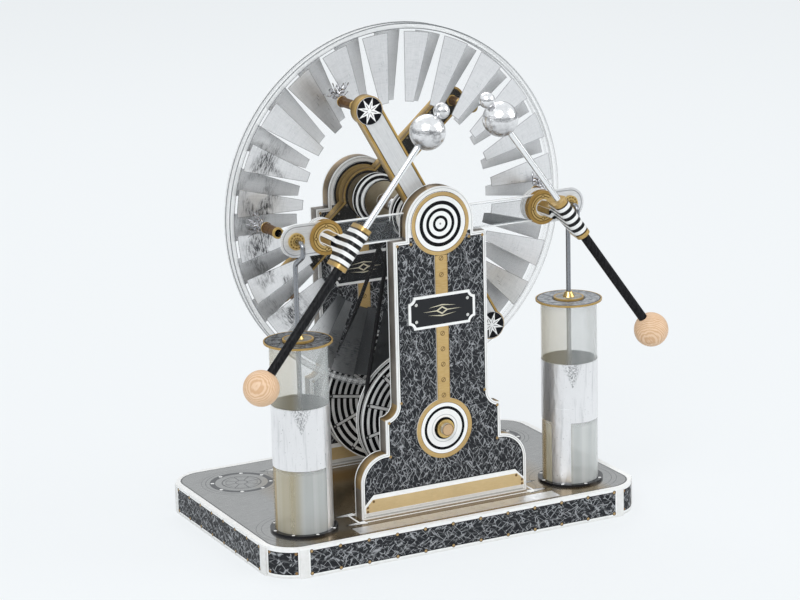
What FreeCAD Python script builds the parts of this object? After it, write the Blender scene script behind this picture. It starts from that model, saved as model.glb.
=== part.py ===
import FreeCAD, Part
import math
import os

# A table-top Wimshurst machine of printed card, clear plastic and metal.
# Millimetres. X runs along the base, Y to the back (the crank side), Z up.
# The origin is the centre of the base's underside.

V = FreeCAD.Vector
UP = V(0, 0, 1)
BACK = V(0, 1, 0)

# How far a cutting tool runs past the stock, and a quarter of a turn in degrees
past = 1.0
quarter_turn = 90.0

# Base box
base_length = 281.0
base_width = 188.0
base_height = 20.6
base_corner_r = 24.0
card = 1.2
corner_recess = 1.5
post_sweep_deg = 15.0
post_depth = 3.5
rib_spacing = 60.0

# Towers: two card boxes, the front one at -Y
tower_outer_y = 63.8
tower_depth = 10.6
foot_half = 62.6
foot_rise = 23.8
foot_round_r = 19.3
step_rise = 23.0
cove_r = 9.1
column_half = 34.3
head_r = 24.9
axle_z = 215.8
ledge_drop = 8.9
shaft_z = 75.2
upper_block_r = 19.0
lower_block_r = 12.0
foot_block_half = 50.0
foot_block_height = 6.0

# Printed-card trims glued on the outer and inner faces
trim = 0.8
badge_r = 21.3
bearing_ring_r = 20.8
strip_half = 4.7
plate_half = 24.9
plate_height = 22.5
plate_z = 157.0
rear_plate_z = 162.0
plate_notch = 4.0
plinth_half = 61.0
plinth_low = 4.0
plinth_high = 13.8
plinth_chamfer = 6.0

# Fixed axle, discs and pulleys
axle_r = 3.0
running = 0.05
gap = 0.3
spacer_wall = 2.0
disc_r = 125.0
disc_thickness = 2.0
disc_gap = 4.8
sector_count = 24
sector_inner_r = 72.0
sector_outer_r = 119.5
sector_inner_half = 3.3
sector_outer_half = 9.6
foil = 0.2
sector_phase_deg = 8.0
rear_phase_deg = 14.4
hub_r = 4.6
pulley_face_y = 19.5
pulley_cap_r = 14.35
pulley_cap = 4.8
pulley_r = 17.6
pulley_flange = 1.0
groove_width = 4.2
groove_depth = 3.6

# Belts
belt_r = 1.4
belt_offset = 1.9
belt_wraps = 5
crossing_bend_r = 16.8
crossing_ease = 0.97
speed_ratio = 2.75

# Drive wheels on the crank shaft
wheel_r = 45.5
wheel_width = 10.0
shaft_r = 4.2
shaft_front = 5.7
collar_r = 6.3
collar_length = 1.7

# Crank at the back
crank_radius = 36.0
crank_half = 7.0
crank_thickness = 5.0
crank_y = 69.0
crank_angle_deg = -90.0
knob_r = 7.5
knob_neck_r = 5.4
knob_swell = 0.15
knob_length = 21.0
knob_pin_r = 2.2
knob_head_r = 4.2
knob_head = 1.6

# Neutralizer bars
neutral_half = 8.7
neutral_end_r = 9.9
neutral_reach = 89.5
neutral_centre_r = 18.2
neutral_depth = 8.2
front_tilt_deg = -29.3
rear_tilt_deg = 49.0
star_r = 9.2
star_cap = 0.6
brush_tube_r = 3.4
brush_tube_wall = 1.0
brush_end = 12.0
brush_sides = 8
tuft_r = 7.0
tuft_neck_r = 2.2

# Collectors and their clear arms
arm_half_height = 8.9
arm_thickness = 2.0
arm_front_y = 57.6
arm_inner_x = 14.0
hub_x = 80.7
terminal_x = 102.0
head_plate_r = 10.9
gold_disc_r = 11.6
drum_length = 6.6
boss_r = 5.6
boss = 1.5
pivot_r = 2.5
pivot_head_r = 4.5
comb_wire_r = 1.2
comb_tube_front = 31.5

# Electrodes, which lie in one plane in front of the discs
electrode_y = 96.9
left_lean_deg = 39.0
right_lean_deg = -36.0
rod_r = 2.1
big_ball_r = 11.7
big_ball_at = 89.0
small_ball_r = 5.3
small_ball_at = 105.4
ball_seat = 4.7
ball_neck_r = 1.7
handle_r = 3.1
handle_end = 95.0
handle_plug = 10.0
grip_r = 11.7
grip_at = 105.5
clamp_half = 15.6
clamp_root_half = 4.9
clamp_flare_at = 15.8
clamp_flare = 8.4
# The middle of the clamp's cove, as shares of its length and its height
clamp_cove_along = 0.72
clamp_cove_up = 0.30
clamp_r = 4.9
clamp_web = 2.2

# Leyden jars
jar_y = 56.3
jar_r = 19.3
jar_wall = 0.6
jar_lid_r = 22.8
jar_lid_z = 149.4
lid_boss_r = 10.4
lid_boss = 1.2
lid_nut_r = 4.2
lid_nut_top_r = 2.4
lid_nut = 3.4
jar_ring_r = 22.6
jar_ring = 1.6
foil_low_z = 65.5
foil_high_z = 107.1
tail_width = 9.0
tail_lap = 10.0
wire_r = 1.6
wire_low_z = 88.0
wire_bow = 12.5
wire_bow_z = 200.0
wire_bow_rise = 7.5
wire_bend_r = 3.6
wire_tuft = 12.0
wire_tuft_r = 3.0
strip_edge = 7.0
strip_width = 11.5
strip_stop = 26.0

os.makedirs("parts", exist_ok=True)

tower_inner_y = tower_outer_y - tower_depth
strip_front_y = base_width / 2 - strip_edge
strip_back_y = strip_front_y - strip_width
strip_end_x = terminal_x - strip_stop
top_z = base_height
foot_top = top_z + foot_rise
shoulder_z = foot_top + foot_round_r
ledge_z = axle_z - ledge_drop
step_half = foot_half - foot_round_r
step_top = shoulder_z + step_rise
cove_z = step_top + cove_r
disc_face_y = disc_gap / 2 + disc_thickness
sector_face_y = disc_face_y + foil
flange_y = pulley_face_y + pulley_cap
groove_y = flange_y + pulley_flange
pulley_back_y = groove_y + groove_width + pulley_flange
belt_y = groove_y + groove_width / 2
pulley_floor_r = pulley_r - groove_depth
pulley_pitch_r = pulley_floor_r + gap + belt_r
wheel_pitch_r = speed_ratio * pulley_pitch_r
wheel_floor_r = wheel_pitch_r - gap - belt_r
axle_span = axle_z - shaft_z


def save(node, shapes):
    # One STEP file per node; several solids of one node go in as a compound.
    shape = shapes[0] if len(shapes) == 1 else Part.makeCompound(shapes)
    shape.exportStep("parts/" + node + ".step")
    solids = shape.Solids
    valid = all(s.isValid() for s in solids)
    volume = sum(s.Volume for s in solids)
    print(node, "solids", len(solids), "valid", valid, "volume", round(volume, 2))


def rod_y(r, y0, y1, x=0.0, z=0.0):
    low, high = min(y0, y1), max(y0, y1)
    return Part.makeCylinder(r, high - low, V(x, low, z), BACK)


def tube_y(outer, inner, y0, y1, x=0.0, z=0.0):
    low, high = min(y0, y1), max(y0, y1)
    return rod_y(outer, low, high, x, z).cut(rod_y(inner, low - past, high + past, x, z))


def rod_z(r, z0, z1, x=0.0, y=0.0):
    return Part.makeCylinder(r, z1 - z0, V(x, y, z0), UP)


def tube_z(outer, inner, z0, z1, x, y):
    return rod_z(outer, z0, z1, x, y).cut(rod_z(inner, z0 - past, z1 + past, x, y))


def block(x0, x1, y0, y1, z0, z1):
    return Part.makeBox(x1 - x0, y1 - y0, z1 - z0, V(x0, y0, z0))


def span_y(face, y0, y1):
    # Extrude a face drawn at y = 0 so that it fills y0 to y1.
    low, high = min(y0, y1), max(y0, y1)
    face = face.copy()
    face.translate(V(0, low, 0))
    return face.extrude(V(0, high - low, 0))


def mirror_x(shape):
    return shape.mirror(V(0, 0, 0), V(1, 0, 0))


def line(a, b):
    return Part.LineSegment(a, b).toShape()


def arc(a, mid, b):
    return Part.Arc(a, mid, b).toShape()


def face_of(edges):
    return Part.Face(Part.Wire(edges))


def polygon_y(points):
    # A face in the XZ plane from (x, z) pairs.
    corners = [V(x, 0, z) for x, z in points]
    return face_of([line(a, b) for a, b in zip(corners, corners[1:] + corners[:1])])


def turned(shape, degrees, x, z):
    # Turn about a line along Y; positive leans the top towards +X.
    shape = shape.copy()
    shape.rotate(V(x, 0, z), BACK, degrees)
    return shape


# The plan of the base: straight sides and recessed quarter-round corners between posts


def corner_arc(cx, cy, r, start, end):
    def at(degrees):
        a = math.radians(degrees)
        return V(cx + r * math.cos(a), cy + r * math.sin(a), 0)

    return arc(at(start), at((start + end) / 2), at(end)), at(start), at(end)


def base_plan():
    edges = []
    last = None
    first = None
    cx, cy = base_length / 2 - base_corner_r, base_width / 2 - base_corner_r
    inner = base_corner_r - corner_recess
    for quarter, (sx, sy) in enumerate(((1, 1), (-1, 1), (-1, -1), (1, -1))):
        start = quarter_turn * quarter
        end = start + quarter_turn
        pieces = (
            (base_corner_r, start, start + post_sweep_deg),
            (inner, start + post_sweep_deg, end - post_sweep_deg),
            (base_corner_r, end - post_sweep_deg, end),
        )
        for r, a0, a1 in pieces:
            edge, p0, p1 = corner_arc(sx * cx, sy * cy, r, a0, a1)
            if last is not None:
                edges.append(line(last, p0))
            else:
                first = p0
            edges.append(edge)
            last = p1
    edges.append(line(last, first))
    return face_of(edges)


def ring_piece(cx, cy, outer, inner, a0, a1, z0, z1):
    out_edge, o0, o1 = corner_arc(cx, cy, outer, a0, a1)
    in_edge, i0, i1 = corner_arc(cx, cy, inner, a0, a1)
    face = face_of([out_edge, line(o1, i1), in_edge, line(i0, o0)])
    face.translate(V(0, 0, z0))
    return face.extrude(V(0, 0, z1 - z0))


def build_base():
    plan = base_plan()
    bottom = plan.extrude(V(0, 0, card))
    top = plan.copy()
    top.translate(V(0, 0, base_height - card))
    top = top.extrude(V(0, 0, card))
    save("base_top", [top])
    save("base_bottom", [bottom])
    low, high = card, base_height - card
    half_x, half_y = base_length / 2, base_width / 2
    run_x, run_y = half_x - base_corner_r, half_y - base_corner_r
    skirts = [
        block(-run_x, run_x, -half_y, -half_y + card, low, high),
        block(-run_x, run_x, half_y - card, half_y, low, high),
        block(-half_x, -half_x + card, -run_y, run_y, low, high),
        block(half_x - card, half_x, -run_y, run_y, low, high),
    ]
    save("base_skirts", skirts)
    panels, posts = [], []
    panel_r = base_corner_r - corner_recess
    for quarter, (sx, sy) in enumerate(((1, 1), (-1, 1), (-1, -1), (1, -1))):
        start = quarter_turn * quarter
        end = start + quarter_turn
        cx, cy = sx * run_x, sy * run_y
        panels.append(ring_piece(cx, cy, panel_r, panel_r - card, start + post_sweep_deg,
                                 end - post_sweep_deg, low, high))
        for a0 in (start, end - post_sweep_deg):
            posts.append(ring_piece(cx, cy, base_corner_r, base_corner_r - post_depth, a0,
                                    a0 + post_sweep_deg, low, high))
    save("corner_panels", panels)
    save("corner_posts", posts)
    rib_y = (tower_outer_y + tower_inner_y) / 2
    inside = half_x - card
    ribs = [block(-inside, inside, s * rib_y - card / 2, s * rib_y + card / 2, low, high)
            for s in (-1, 1)]
    reach = rib_y - card / 2
    for x in (-rib_spacing, 0.0, rib_spacing):
        ribs.append(block(x - card / 2, x + card / 2, -reach, reach, low, high))
    save("base_ribs", ribs)


# The tower outline, drawn at y = 0 and moved in by d for the inside of the side band


def tower_outline(d):
    foot, step, column, head = foot_half - d, step_half - d, column_half - d, head_r - d
    round_x, round_r = foot_half - foot_round_r, foot_round_r - d
    cove = cove_r + d
    cove_low = cove_z - math.sqrt(cove ** 2 - (step_half - step) ** 2)
    slant = math.sqrt(0.5)
    mid_angle = (math.atan2(cove_low - cove_z, step - step_half) + math.pi) / 2 - math.pi
    right = [
        line(V(foot, 0, top_z), V(foot, 0, foot_top)),
        arc(V(foot, 0, foot_top), V(round_x + round_r * slant, 0, foot_top + round_r * slant),
            V(round_x, 0, foot_top + round_r)),
    ]
    if d > 0:
        right.append(line(V(round_x, 0, foot_top + round_r), V(step, 0, foot_top + round_r)))
    cove_mid = V(step_half + cove * math.cos(mid_angle), 0, cove_z + cove * math.sin(mid_angle))
    right += [
        line(V(step, 0, foot_top + round_r), V(step, 0, cove_low)),
        arc(V(step, 0, cove_low), cove_mid, V(column, 0, cove_z)),
        line(V(column, 0, cove_z), V(column, 0, ledge_z - d)),
        line(V(column, 0, ledge_z - d), V(head, 0, ledge_z - d)),
        line(V(head, 0, ledge_z - d), V(head, 0, axle_z)),
    ]
    left = [mirror_x(e) for e in right]
    crown = arc(V(head, 0, axle_z), V(0, 0, axle_z + head), V(-head, 0, axle_z))
    floor = line(V(-foot, 0, top_z), V(foot, 0, top_z))
    return Part.Face(Part.Wire(Part.__sortEdges__(right + left + [crown, floor])))


def plate_face(plate_mid):
    # A name plate with quarter-round bites out of its corners.
    h, v, n = plate_half, plate_height / 2, plate_notch
    slant = n * math.sqrt(0.5)
    edges = []
    corners = ((h, v, 1, 1), (-h, v, -1, 1), (-h, -v, -1, -1), (h, -v, 1, -1))
    last = None
    first = None
    for x, z, sx, sz in corners:
        a = V(x, 0, plate_mid + z - sz * n)
        b = V(x - sx * n, 0, plate_mid + z)
        if sx * sz < 0:
            a, b = b, a
        bite = arc(a, V(x - sx * slant, 0, plate_mid + z - sz * slant), b)
        if last is not None:
            edges.append(line(last, a))
        else:
            first = a
        edges.append(bite)
        last = b
    edges.append(line(last, first))
    return face_of(edges)


def plinth_face():
    low, high = top_z + plinth_low, top_z + plinth_high
    cut = plinth_chamfer
    return polygon_y([(-plinth_half, low), (plinth_half, low), (plinth_half, high - cut),
                      (plinth_half - cut, high), (cut - plinth_half, high), (-plinth_half, high - cut)])


def build_tower(name, side):
    outer, inner = side * tower_outer_y, side * tower_inner_y
    out_skin, in_skin = outer - side * card, inner + side * card
    outline = tower_outline(0.0)
    shaft_hole = rod_y(shaft_r + running, inner - side * past, outer + side * past, 0, shaft_z)
    axle_hole = rod_y(axle_r, inner - side * past, out_skin, 0, axle_z)
    arm_slot = block(-head_r - past, -arm_inner_x, -arm_front_y, arm_thickness - arm_front_y,
                     axle_z - arm_half_height, axle_z + arm_half_height)
    slots = arm_slot.fuse(mirror_x(arm_slot))
    face = span_y(outline, out_skin, outer).cut(shaft_hole)
    back = span_y(outline, inner, in_skin).cut(shaft_hole).cut(axle_hole)
    band = span_y(outline.cut(tower_outline(card)), in_skin, out_skin)
    upper = rod_y(upper_block_r, in_skin, out_skin, 0, axle_z).cut(axle_hole)
    lower = rod_y(lower_block_r, in_skin, out_skin, 0, shaft_z).cut(shaft_hole)
    foot_block = block(-foot_block_half, foot_block_half, min(in_skin, out_skin),
                       max(in_skin, out_skin), top_z, top_z + foot_block_height)
    if side < 0:
        band = band.cut(slots)
        upper = upper.cut(slots)
    save(name + "_tower_face", [face])
    save(name + "_tower_back", [back])
    save(name + "_tower_band", [band])
    save(name + "_tower_blocks", [upper, lower, foot_block])
    # Both prints face -Y: the front tower's lies on its outer skin, the rear tower's on its inner skin.
    skin = outer if side < 0 else inner
    print_y = skin - trim
    plate_mid = plate_z if side < 0 else rear_plate_z
    badge = rod_y(badge_r, print_y, skin, 0, axle_z)
    ring = tube_y(bearing_ring_r, shaft_r + running + gap, print_y, skin, 0, shaft_z)
    low_strip = block(-strip_half, strip_half, print_y, skin, shaft_z, plate_mid)
    high_strip = block(-strip_half, strip_half, print_y, skin, plate_mid, axle_z)
    plate = span_y(plate_face(plate_mid), print_y, skin)
    plinth = span_y(plinth_face(), print_y, skin)
    low_strip = low_strip.cut(rod_y(bearing_ring_r, print_y, skin, 0, shaft_z)).cut(plate)
    high_strip = high_strip.cut(badge).cut(plate)
    if side > 0:
        badge = badge.cut(rod_y(axle_r + gap, print_y - past, skin + past, 0, axle_z))
    save(name + "_tower_trim", [badge, ring, low_strip, high_strip, plate, plinth])


# Discs, sectors and pulleys


def sector_face(phase):
    def at(r, half):
        along = math.sqrt(r * r - half * half)
        return V(half, 0, along)

    faces = []
    for k in range(sector_count):
        o0, o1 = at(sector_outer_r, -sector_outer_half), at(sector_outer_r, sector_outer_half)
        i0, i1 = at(sector_inner_r, -sector_inner_half), at(sector_inner_r, sector_inner_half)
        edges = [arc(o0, V(0, 0, sector_outer_r), o1), line(o1, i1),
                 arc(i1, V(0, 0, sector_inner_r), i0), line(i0, o0)]
        face = face_of(edges)
        face.rotate(V(0, 0, 0), BACK, phase + 360.0 * k / sector_count)
        face.translate(V(0, 0, axle_z))
        faces.append(face)
    return faces


def revolve_y(points, z):
    # Turn an (r, y) outline about a line along Y at height z.
    corners = [V(r, y, z) for r, y in points]
    face = face_of([line(a, b) for a, b in zip(corners, corners[1:] + corners[:1])])
    return face.revolve(V(0, 0, z), BACK, 360)


def build_disc(name, side, phase):
    near, far = disc_gap / 2, disc_face_y
    disc = tube_y(disc_r, hub_r, side * near, side * far, 0, axle_z)
    save(name + "_disc", [disc])
    foils = [span_y(f, side * disc_face_y, side * sector_face_y) for f in sector_face(phase)]
    save(name + "_sectors", foils)
    bore = axle_r + running
    outline = [(bore, near), (hub_r, near), (hub_r, pulley_face_y), (pulley_cap_r, pulley_face_y),
               (pulley_cap_r, flange_y), (pulley_r, flange_y), (pulley_r, groove_y),
               (pulley_floor_r, groove_y), (pulley_floor_r, groove_y + groove_width),
               (pulley_r, groove_y + groove_width), (pulley_r, pulley_back_y), (bore, pulley_back_y)]
    save(name + "_pulley", [revolve_y([(r, side * y) for r, y in outline], axle_z)])


def neutralizer_back(side):
    # The rear bar leaves room for the print on the rear tower's inner face.
    return tower_inner_y - gap - (trim + gap if side > 0 else 0.0)


def build_axle():
    reach = tower_outer_y - card
    save("disc_axle", [rod_y(axle_r, -reach, reach, 0, axle_z)])
    ring_r = axle_r + spacer_wall
    between = disc_gap / 2 - gap
    spacers = [tube_y(ring_r, axle_r, -between, between, 0, axle_z)]
    for side in (-1, 1):
        spacers.append(tube_y(ring_r, axle_r, side * (pulley_back_y + gap),
                              side * (neutralizer_back(side) - neutral_depth - gap), 0, axle_z))
    save("axle_spacers", spacers)


# The crank shaft, its wheels and the crank


def build_drive():
    crank_out = crank_y + crank_thickness
    save("crank_shaft", [rod_y(shaft_r, -tower_outer_y - shaft_front, crank_out, 0, shaft_z)])
    near, far = belt_y - wheel_width / 2, belt_y + wheel_width / 2
    low, high = belt_y - groove_width / 2, belt_y + groove_width / 2
    outline = [(shaft_r, near), (wheel_r, near), (wheel_r, low), (wheel_floor_r, low),
               (wheel_floor_r, high), (wheel_r, high), (wheel_r, far), (shaft_r, far)]
    for name, side in (("front", -1), ("rear", 1)):
        save(name + "_drive_wheel", [revolve_y([(r, side * y) for r, y in outline], shaft_z)])
    collars = []
    for side in (-1, 1):
        outside = tower_outer_y + (trim if side < 0 else 0.0) + gap
        inside = tower_inner_y - (trim if side > 0 else 0.0) - gap
        for y0, y1 in ((outside, outside + collar_length), (inside - collar_length, inside)):
            collars.append(tube_y(collar_r, shaft_r, side * y0, side * y1, 0, shaft_z))
    save("shaft_collars", collars)
    tip_x, tip_z = crank_radius, shaft_z
    arm = rod_y(crank_half, crank_y, crank_out, 0, shaft_z)
    arm = arm.fuse(rod_y(crank_half, crank_y, crank_out, tip_x, tip_z))
    arm = arm.fuse(block(0, tip_x, crank_y, crank_out, shaft_z - crank_half, shaft_z + crank_half))
    arm = arm.removeSplitter().cut(rod_y(shaft_r, crank_y - past, crank_out + past, 0, shaft_z))
    arm = arm.cut(rod_y(knob_pin_r, crank_y - past, crank_out + past, tip_x, tip_z))
    knob_near = crank_out + gap
    knob_far = knob_near + knob_length
    pin = rod_y(knob_pin_r, crank_y, knob_far + gap, tip_x, tip_z)
    pin = pin.fuse(rod_y(knob_head_r, knob_far + gap, knob_far + gap + knob_head, tip_x, tip_z))
    bore = knob_pin_r + running
    profile = [V(bore, knob_near, 0), V(knob_neck_r, knob_near, 0), V(knob_r, knob_far, 0),
               V(bore, knob_far, 0)]
    swell = arc(profile[1], V(knob_r + knob_swell, (knob_near + knob_far * 2) / 3, 0), profile[2])
    knob = face_of([line(profile[0], profile[1]), swell, line(profile[2], profile[3]),
                    line(profile[3], profile[0])]).revolve(V(0, 0, 0), BACK, 360)
    knob.translate(V(tip_x, 0, tip_z))
    save("crank_arm", [turned(arm, -crank_angle_deg, 0, shaft_z)])
    save("knob_pin", [turned(pin, -crank_angle_deg, 0, shaft_z)])
    save("crank_knob", [turned(knob, -crank_angle_deg, 0, shaft_z)])


# A round bar swept along straight runs joined by tangent arcs


def rounded_path(points, radii):
    edges = []
    closed = 0.000001
    last = points[0]
    for before, corner, after, r in zip(points, points[1:], points[2:], radii):
        u = (before - corner).normalize()
        w = (after - corner).normalize()
        half_turn = (math.pi - u.getAngle(w)) / 2
        back_off = r * math.tan(half_turn)
        start, end = corner + u * back_off, corner + w * back_off
        middle = corner + (u + w).normalize() * (r / math.cos(half_turn) - r)
        if (start - last).Length > closed:
            edges.append(line(last, start))
        edges.append(arc(start, middle, end))
        last = end
    if (points[-1] - last).Length > closed:
        edges.append(line(last, points[-1]))
    return edges


def swept_bar(edges, r):
    start = edges[0]
    first = start.valueAt(start.FirstParameter)
    tangent = start.tangentAt(start.FirstParameter)
    circle = Part.Wire([Part.Circle(first, tangent, r).toShape()])
    return Part.Wire(edges).makePipeShell([circle], True, False)


def wrap_points(z, r, a0, a1, y):
    # Corners of a polygon round a circle, whose rounded corners lie on the circle.
    step = (a1 - a0) / belt_wraps
    out = r / math.cos(step / 2)
    angles = [a0 + step * (k + 0.5) for k in range(belt_wraps)]
    return [V(out * math.cos(a), y, z + out * math.sin(a)) for a in angles]


def build_belt(node, y, crossed):
    # The strands lean by the angle between the centre line and a tangent to both pulleys.
    across = wheel_pitch_r + pulley_pitch_r if crossed else wheel_pitch_r - pulley_pitch_r
    lean = math.asin(across / axle_span)
    top_lean = -lean if crossed else lean
    top = wrap_points(axle_z, pulley_pitch_r, top_lean, math.pi - top_lean, y)
    low = wrap_points(shaft_z, wheel_pitch_r, math.pi - lean, 2 * math.pi + lean, y)
    low_r, top_r = wheel_pitch_r, pulley_pitch_r
    if crossed:
        low.reverse()
        cross_z = axle_z - axle_span * pulley_pitch_r / (pulley_pitch_r + wheel_pitch_r)
        first, second = V(0, y - belt_offset, cross_z), V(0, y + belt_offset, cross_z)
        start = (top[-1] + first) * 0.5
        points = [start, first] + low + [second] + top + [start]
        radii = []
        for r in (low_r, top_r):
            inner_turns = [r] * (belt_wraps - 2)
            radii += [crossing_bend_r, r * crossing_ease] + inner_turns + [r * crossing_ease]
    else:
        start = (top[-1] + low[0]) * 0.5
        points = [start] + low + top + [start]
        radii = [low_r] * belt_wraps + [top_r] * belt_wraps
    path = rounded_path(points, radii)
    # Swept in two halves, so that the loop closes without a twist.
    half = len(path) // 2
    belt = swept_bar(path[:half], belt_r).fuse(swept_bar(path[half:], belt_r))
    length = sum(e.Length for e in path)
    exact = length * math.pi * belt_r ** 2
    print(node, "length", round(length, 1), "volume over exact", round(belt.Volume / exact, 4))
    save(node, [belt])


# Neutralizer bars


def octagon_tube(r, inner, y0, y1, x, z):
    corners = []
    for k in range(brush_sides):
        a = 2 * math.pi * (k + 0.5) / brush_sides
        corners.append((x + r * math.cos(a), z + r * math.sin(a)))
    low, high = min(y0, y1), max(y0, y1)
    return span_y(polygon_y(corners), low, high).cut(rod_y(inner, low - past, high + past, x, z))


def tuft(y_neck, y_tip, x, z):
    # A bunch of tinsel as a plain cone that opens towards the disc.
    run = V(0, y_tip - y_neck, 0)
    return Part.makeCone(tuft_neck_r, tuft_r, run.Length, V(x, y_neck, z), run)


def build_neutralizer(name, side, tilt):
    back = neutralizer_back(side)
    front = back - neutral_depth
    cap_y = back - star_cap
    high, low = axle_z + neutral_reach, axle_z - neutral_reach
    bar = rod_y(neutral_end_r, side * front, side * cap_y, 0, high)
    bar = bar.fuse(rod_y(neutral_end_r, side * front, side * cap_y, 0, low))
    y0, y1 = sorted((side * front, side * cap_y))
    bar = bar.fuse(block(-neutral_half, neutral_half, y0, y1, low, high))
    bar = bar.fuse(rod_y(neutral_centre_r, side * front, side * cap_y, 0, axle_z)).removeSplitter()
    bar = bar.cut(rod_y(axle_r + running, -tower_outer_y, tower_outer_y, 0, axle_z))
    caps = [rod_y(star_r, side * cap_y, side * back, 0, z) for z in (high, low)]
    brushes = []
    tip_y = sector_face_y + gap
    for z in (high, low):
        tube = octagon_tube(brush_tube_r, brush_tube_r - brush_tube_wall, side * brush_end,
                            side * front, 0, z)
        pin = rod_y(brush_tube_r - brush_tube_wall, side * brush_end, side * front, 0, z)
        brushes += [tube, pin, tuft(side * brush_end, side * tip_y, 0, z)]
    for node, shapes in (("bar", [bar]), ("caps", caps), ("brushes", brushes)):
        save(name + "_neutralizer_" + node, [turned(s, tilt, 0, axle_z) for s in shapes])


# Collectors: a clear arm, a plate with the terminal, a drum with the electrode's pivot, a comb


def build_collectors():
    arm_back = arm_front_y - arm_thickness
    plate_front = arm_front_y + card
    drum_back = arm_back - drum_length
    low, high = axle_z - arm_half_height, axle_z + arm_half_height
    bore = pivot_r + running
    arms, plates, drums, combs = [], [], [], []
    for s in (-1, 1):
        hub, end = s * hub_x, s * terminal_x
        near, far = sorted((s * arm_inner_x, hub))
        arm = block(near, far, -arm_front_y, -arm_back, low, high)
        arm = arm.fuse(rod_y(arm_half_height, -arm_front_y, -arm_back, hub, axle_z)).removeSplitter()
        hole = rod_y(bore, -plate_front - card - past, -drum_back + past, hub, axle_z)
        arms.append(arm.cut(hole))
        plate = rod_y(head_plate_r, -plate_front, -arm_front_y, hub, axle_z)
        plate = plate.fuse(rod_y(head_plate_r, -plate_front, -arm_front_y, end, axle_z))
        plate = plate.fuse(block(min(hub, end), max(hub, end), -plate_front, -arm_front_y,
                                 axle_z - head_plate_r, axle_z + head_plate_r)).removeSplitter()
        plates.append(plate.cut(hole))
        plates.append(rod_y(boss_r, -plate_front - boss, -plate_front, end, axle_z))
        drums.append(rod_y(gold_disc_r, -plate_front - card, -plate_front, hub, axle_z).cut(hole))
        drums.append(rod_y(gold_disc_r, -arm_back, -drum_back, hub, axle_z).cut(hole))
        tube = octagon_tube(brush_tube_r, brush_tube_r - brush_tube_wall, -brush_end,
                            -comb_tube_front, end, axle_z)
        plug = rod_y(brush_tube_r - brush_tube_wall, -brush_end, -comb_tube_front, end, axle_z)
        wire = rod_y(comb_wire_r, -comb_tube_front, -arm_front_y, end, axle_z)
        combs += [tube, plug, wire, tuft(-brush_end, -sector_face_y - gap, end, axle_z)]
    save("collector_arms", arms)
    save("collector_plates", plates)
    save("collector_drums", drums)
    save("collector_combs", combs)


# Electrodes: built upright with the pivot at x = 0, z = 0, then leaned and moved to the hub


def clamp_solid():
    root = arm_front_y + 2 * card + gap
    t_rod = electrode_y
    r, web = clamp_r, clamp_web
    mid = (root + t_rod) / 2
    # Seen along the rod: a round nose on the rod, narrowing to a flat web at the pivot.
    nose = [V(-web, -root, 0), V(-web, -mid, 0), V(-r, -t_rod, 0), V(r, -t_rod, 0), V(web, -mid, 0),
            V(web, -root, 0)]
    edges = [line(nose[0], nose[1]), line(nose[1], nose[2]), arc(nose[2], V(0, -t_rod - r, 0), nose[3]),
             line(nose[3], nose[4]), line(nose[4], nose[5]), line(nose[5], nose[0])]
    section = face_of(edges)
    section.translate(V(0, 0, -clamp_half))
    body = section.extrude(V(0, 0, 2 * clamp_half))
    # Seen from the side: a stem that flares along two coves to the sleeve's full length.
    a, b = clamp_root_half, clamp_half
    flare = root + clamp_flare_at
    sleeve = flare + clamp_flare
    far = t_rod + r + past
    deep = V(0, -(flare + (sleeve - flare) * clamp_cove_along), a + (b - a) * clamp_cove_up)
    high = V(0, deep.y, -deep.z)
    side_edges = [
        line(V(0, -root, -a), V(0, -root, a)), line(V(0, -root, a), V(0, -flare, a)),
        arc(V(0, -flare, a), deep, V(0, -sleeve, b)), line(V(0, -sleeve, b), V(0, -far, b)),
        line(V(0, -far, b), V(0, -far, -b)), line(V(0, -far, -b), V(0, -sleeve, -b)),
        arc(V(0, -sleeve, -b), high, V(0, -flare, -a)), line(V(0, -flare, -a), V(0, -root, -a)),
    ]
    side = face_of(side_edges)
    side.translate(V(-2 * r, 0, 0))
    body = body.common(side.extrude(V(4 * r, 0, 0)))
    body = body.fuse(rod_y(a, -root, -flare, 0, 0)).removeSplitter()
    body = body.cut(rod_z(rod_r, -2 * b, 2 * b, 0, -t_rod))
    return body.cut(rod_y(pivot_r, -flare, -root + past, 0, 0))


def build_electrode(name, side, lean):
    drum_back = arm_front_y - arm_thickness - drum_length
    flare = arm_front_y + 2 * card + gap + clamp_flare_at
    rod = rod_z(rod_r, -handle_end + handle_plug, big_ball_at + ball_seat, 0, -electrode_y)
    pivot = rod_y(pivot_r, -flare, -drum_back + gap, 0, 0)
    pivot = pivot.fuse(rod_y(pivot_head_r, -drum_back + gap, -drum_back + gap + card, 0, 0))
    big = Part.makeSphere(big_ball_r, V(0, -electrode_y, big_ball_at))
    neck = rod_z(ball_neck_r, big_ball_at, small_ball_at, 0, -electrode_y)
    small = Part.makeSphere(small_ball_r, V(0, -electrode_y, small_ball_at))
    balls = big.fuse(neck).fuse(small).cut(rod)
    handle = rod_z(handle_r, -handle_end, -clamp_half, 0, -electrode_y).cut(rod)
    grip = Part.makeSphere(grip_r, V(0, -electrode_y, -grip_at))
    grip = grip.cut(rod_z(handle_r, -handle_end, 0, 0, -electrode_y))
    clamp = clamp_solid()
    pieces = (("rod", [rod, pivot]), ("balls", [balls]), ("handle", [handle]), ("grip", [grip]),
              ("clamp", [clamp]))
    for node, shapes in pieces:
        placed = []
        for shape in shapes:
            shape = turned(shape, lean, 0, 0)
            shape.translate(V(side * hub_x, 0, axle_z))
            placed.append(shape)
        save("electrode_" + name + "_" + node, placed)


# Leyden jars on the base, in front of the discs' ends


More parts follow.
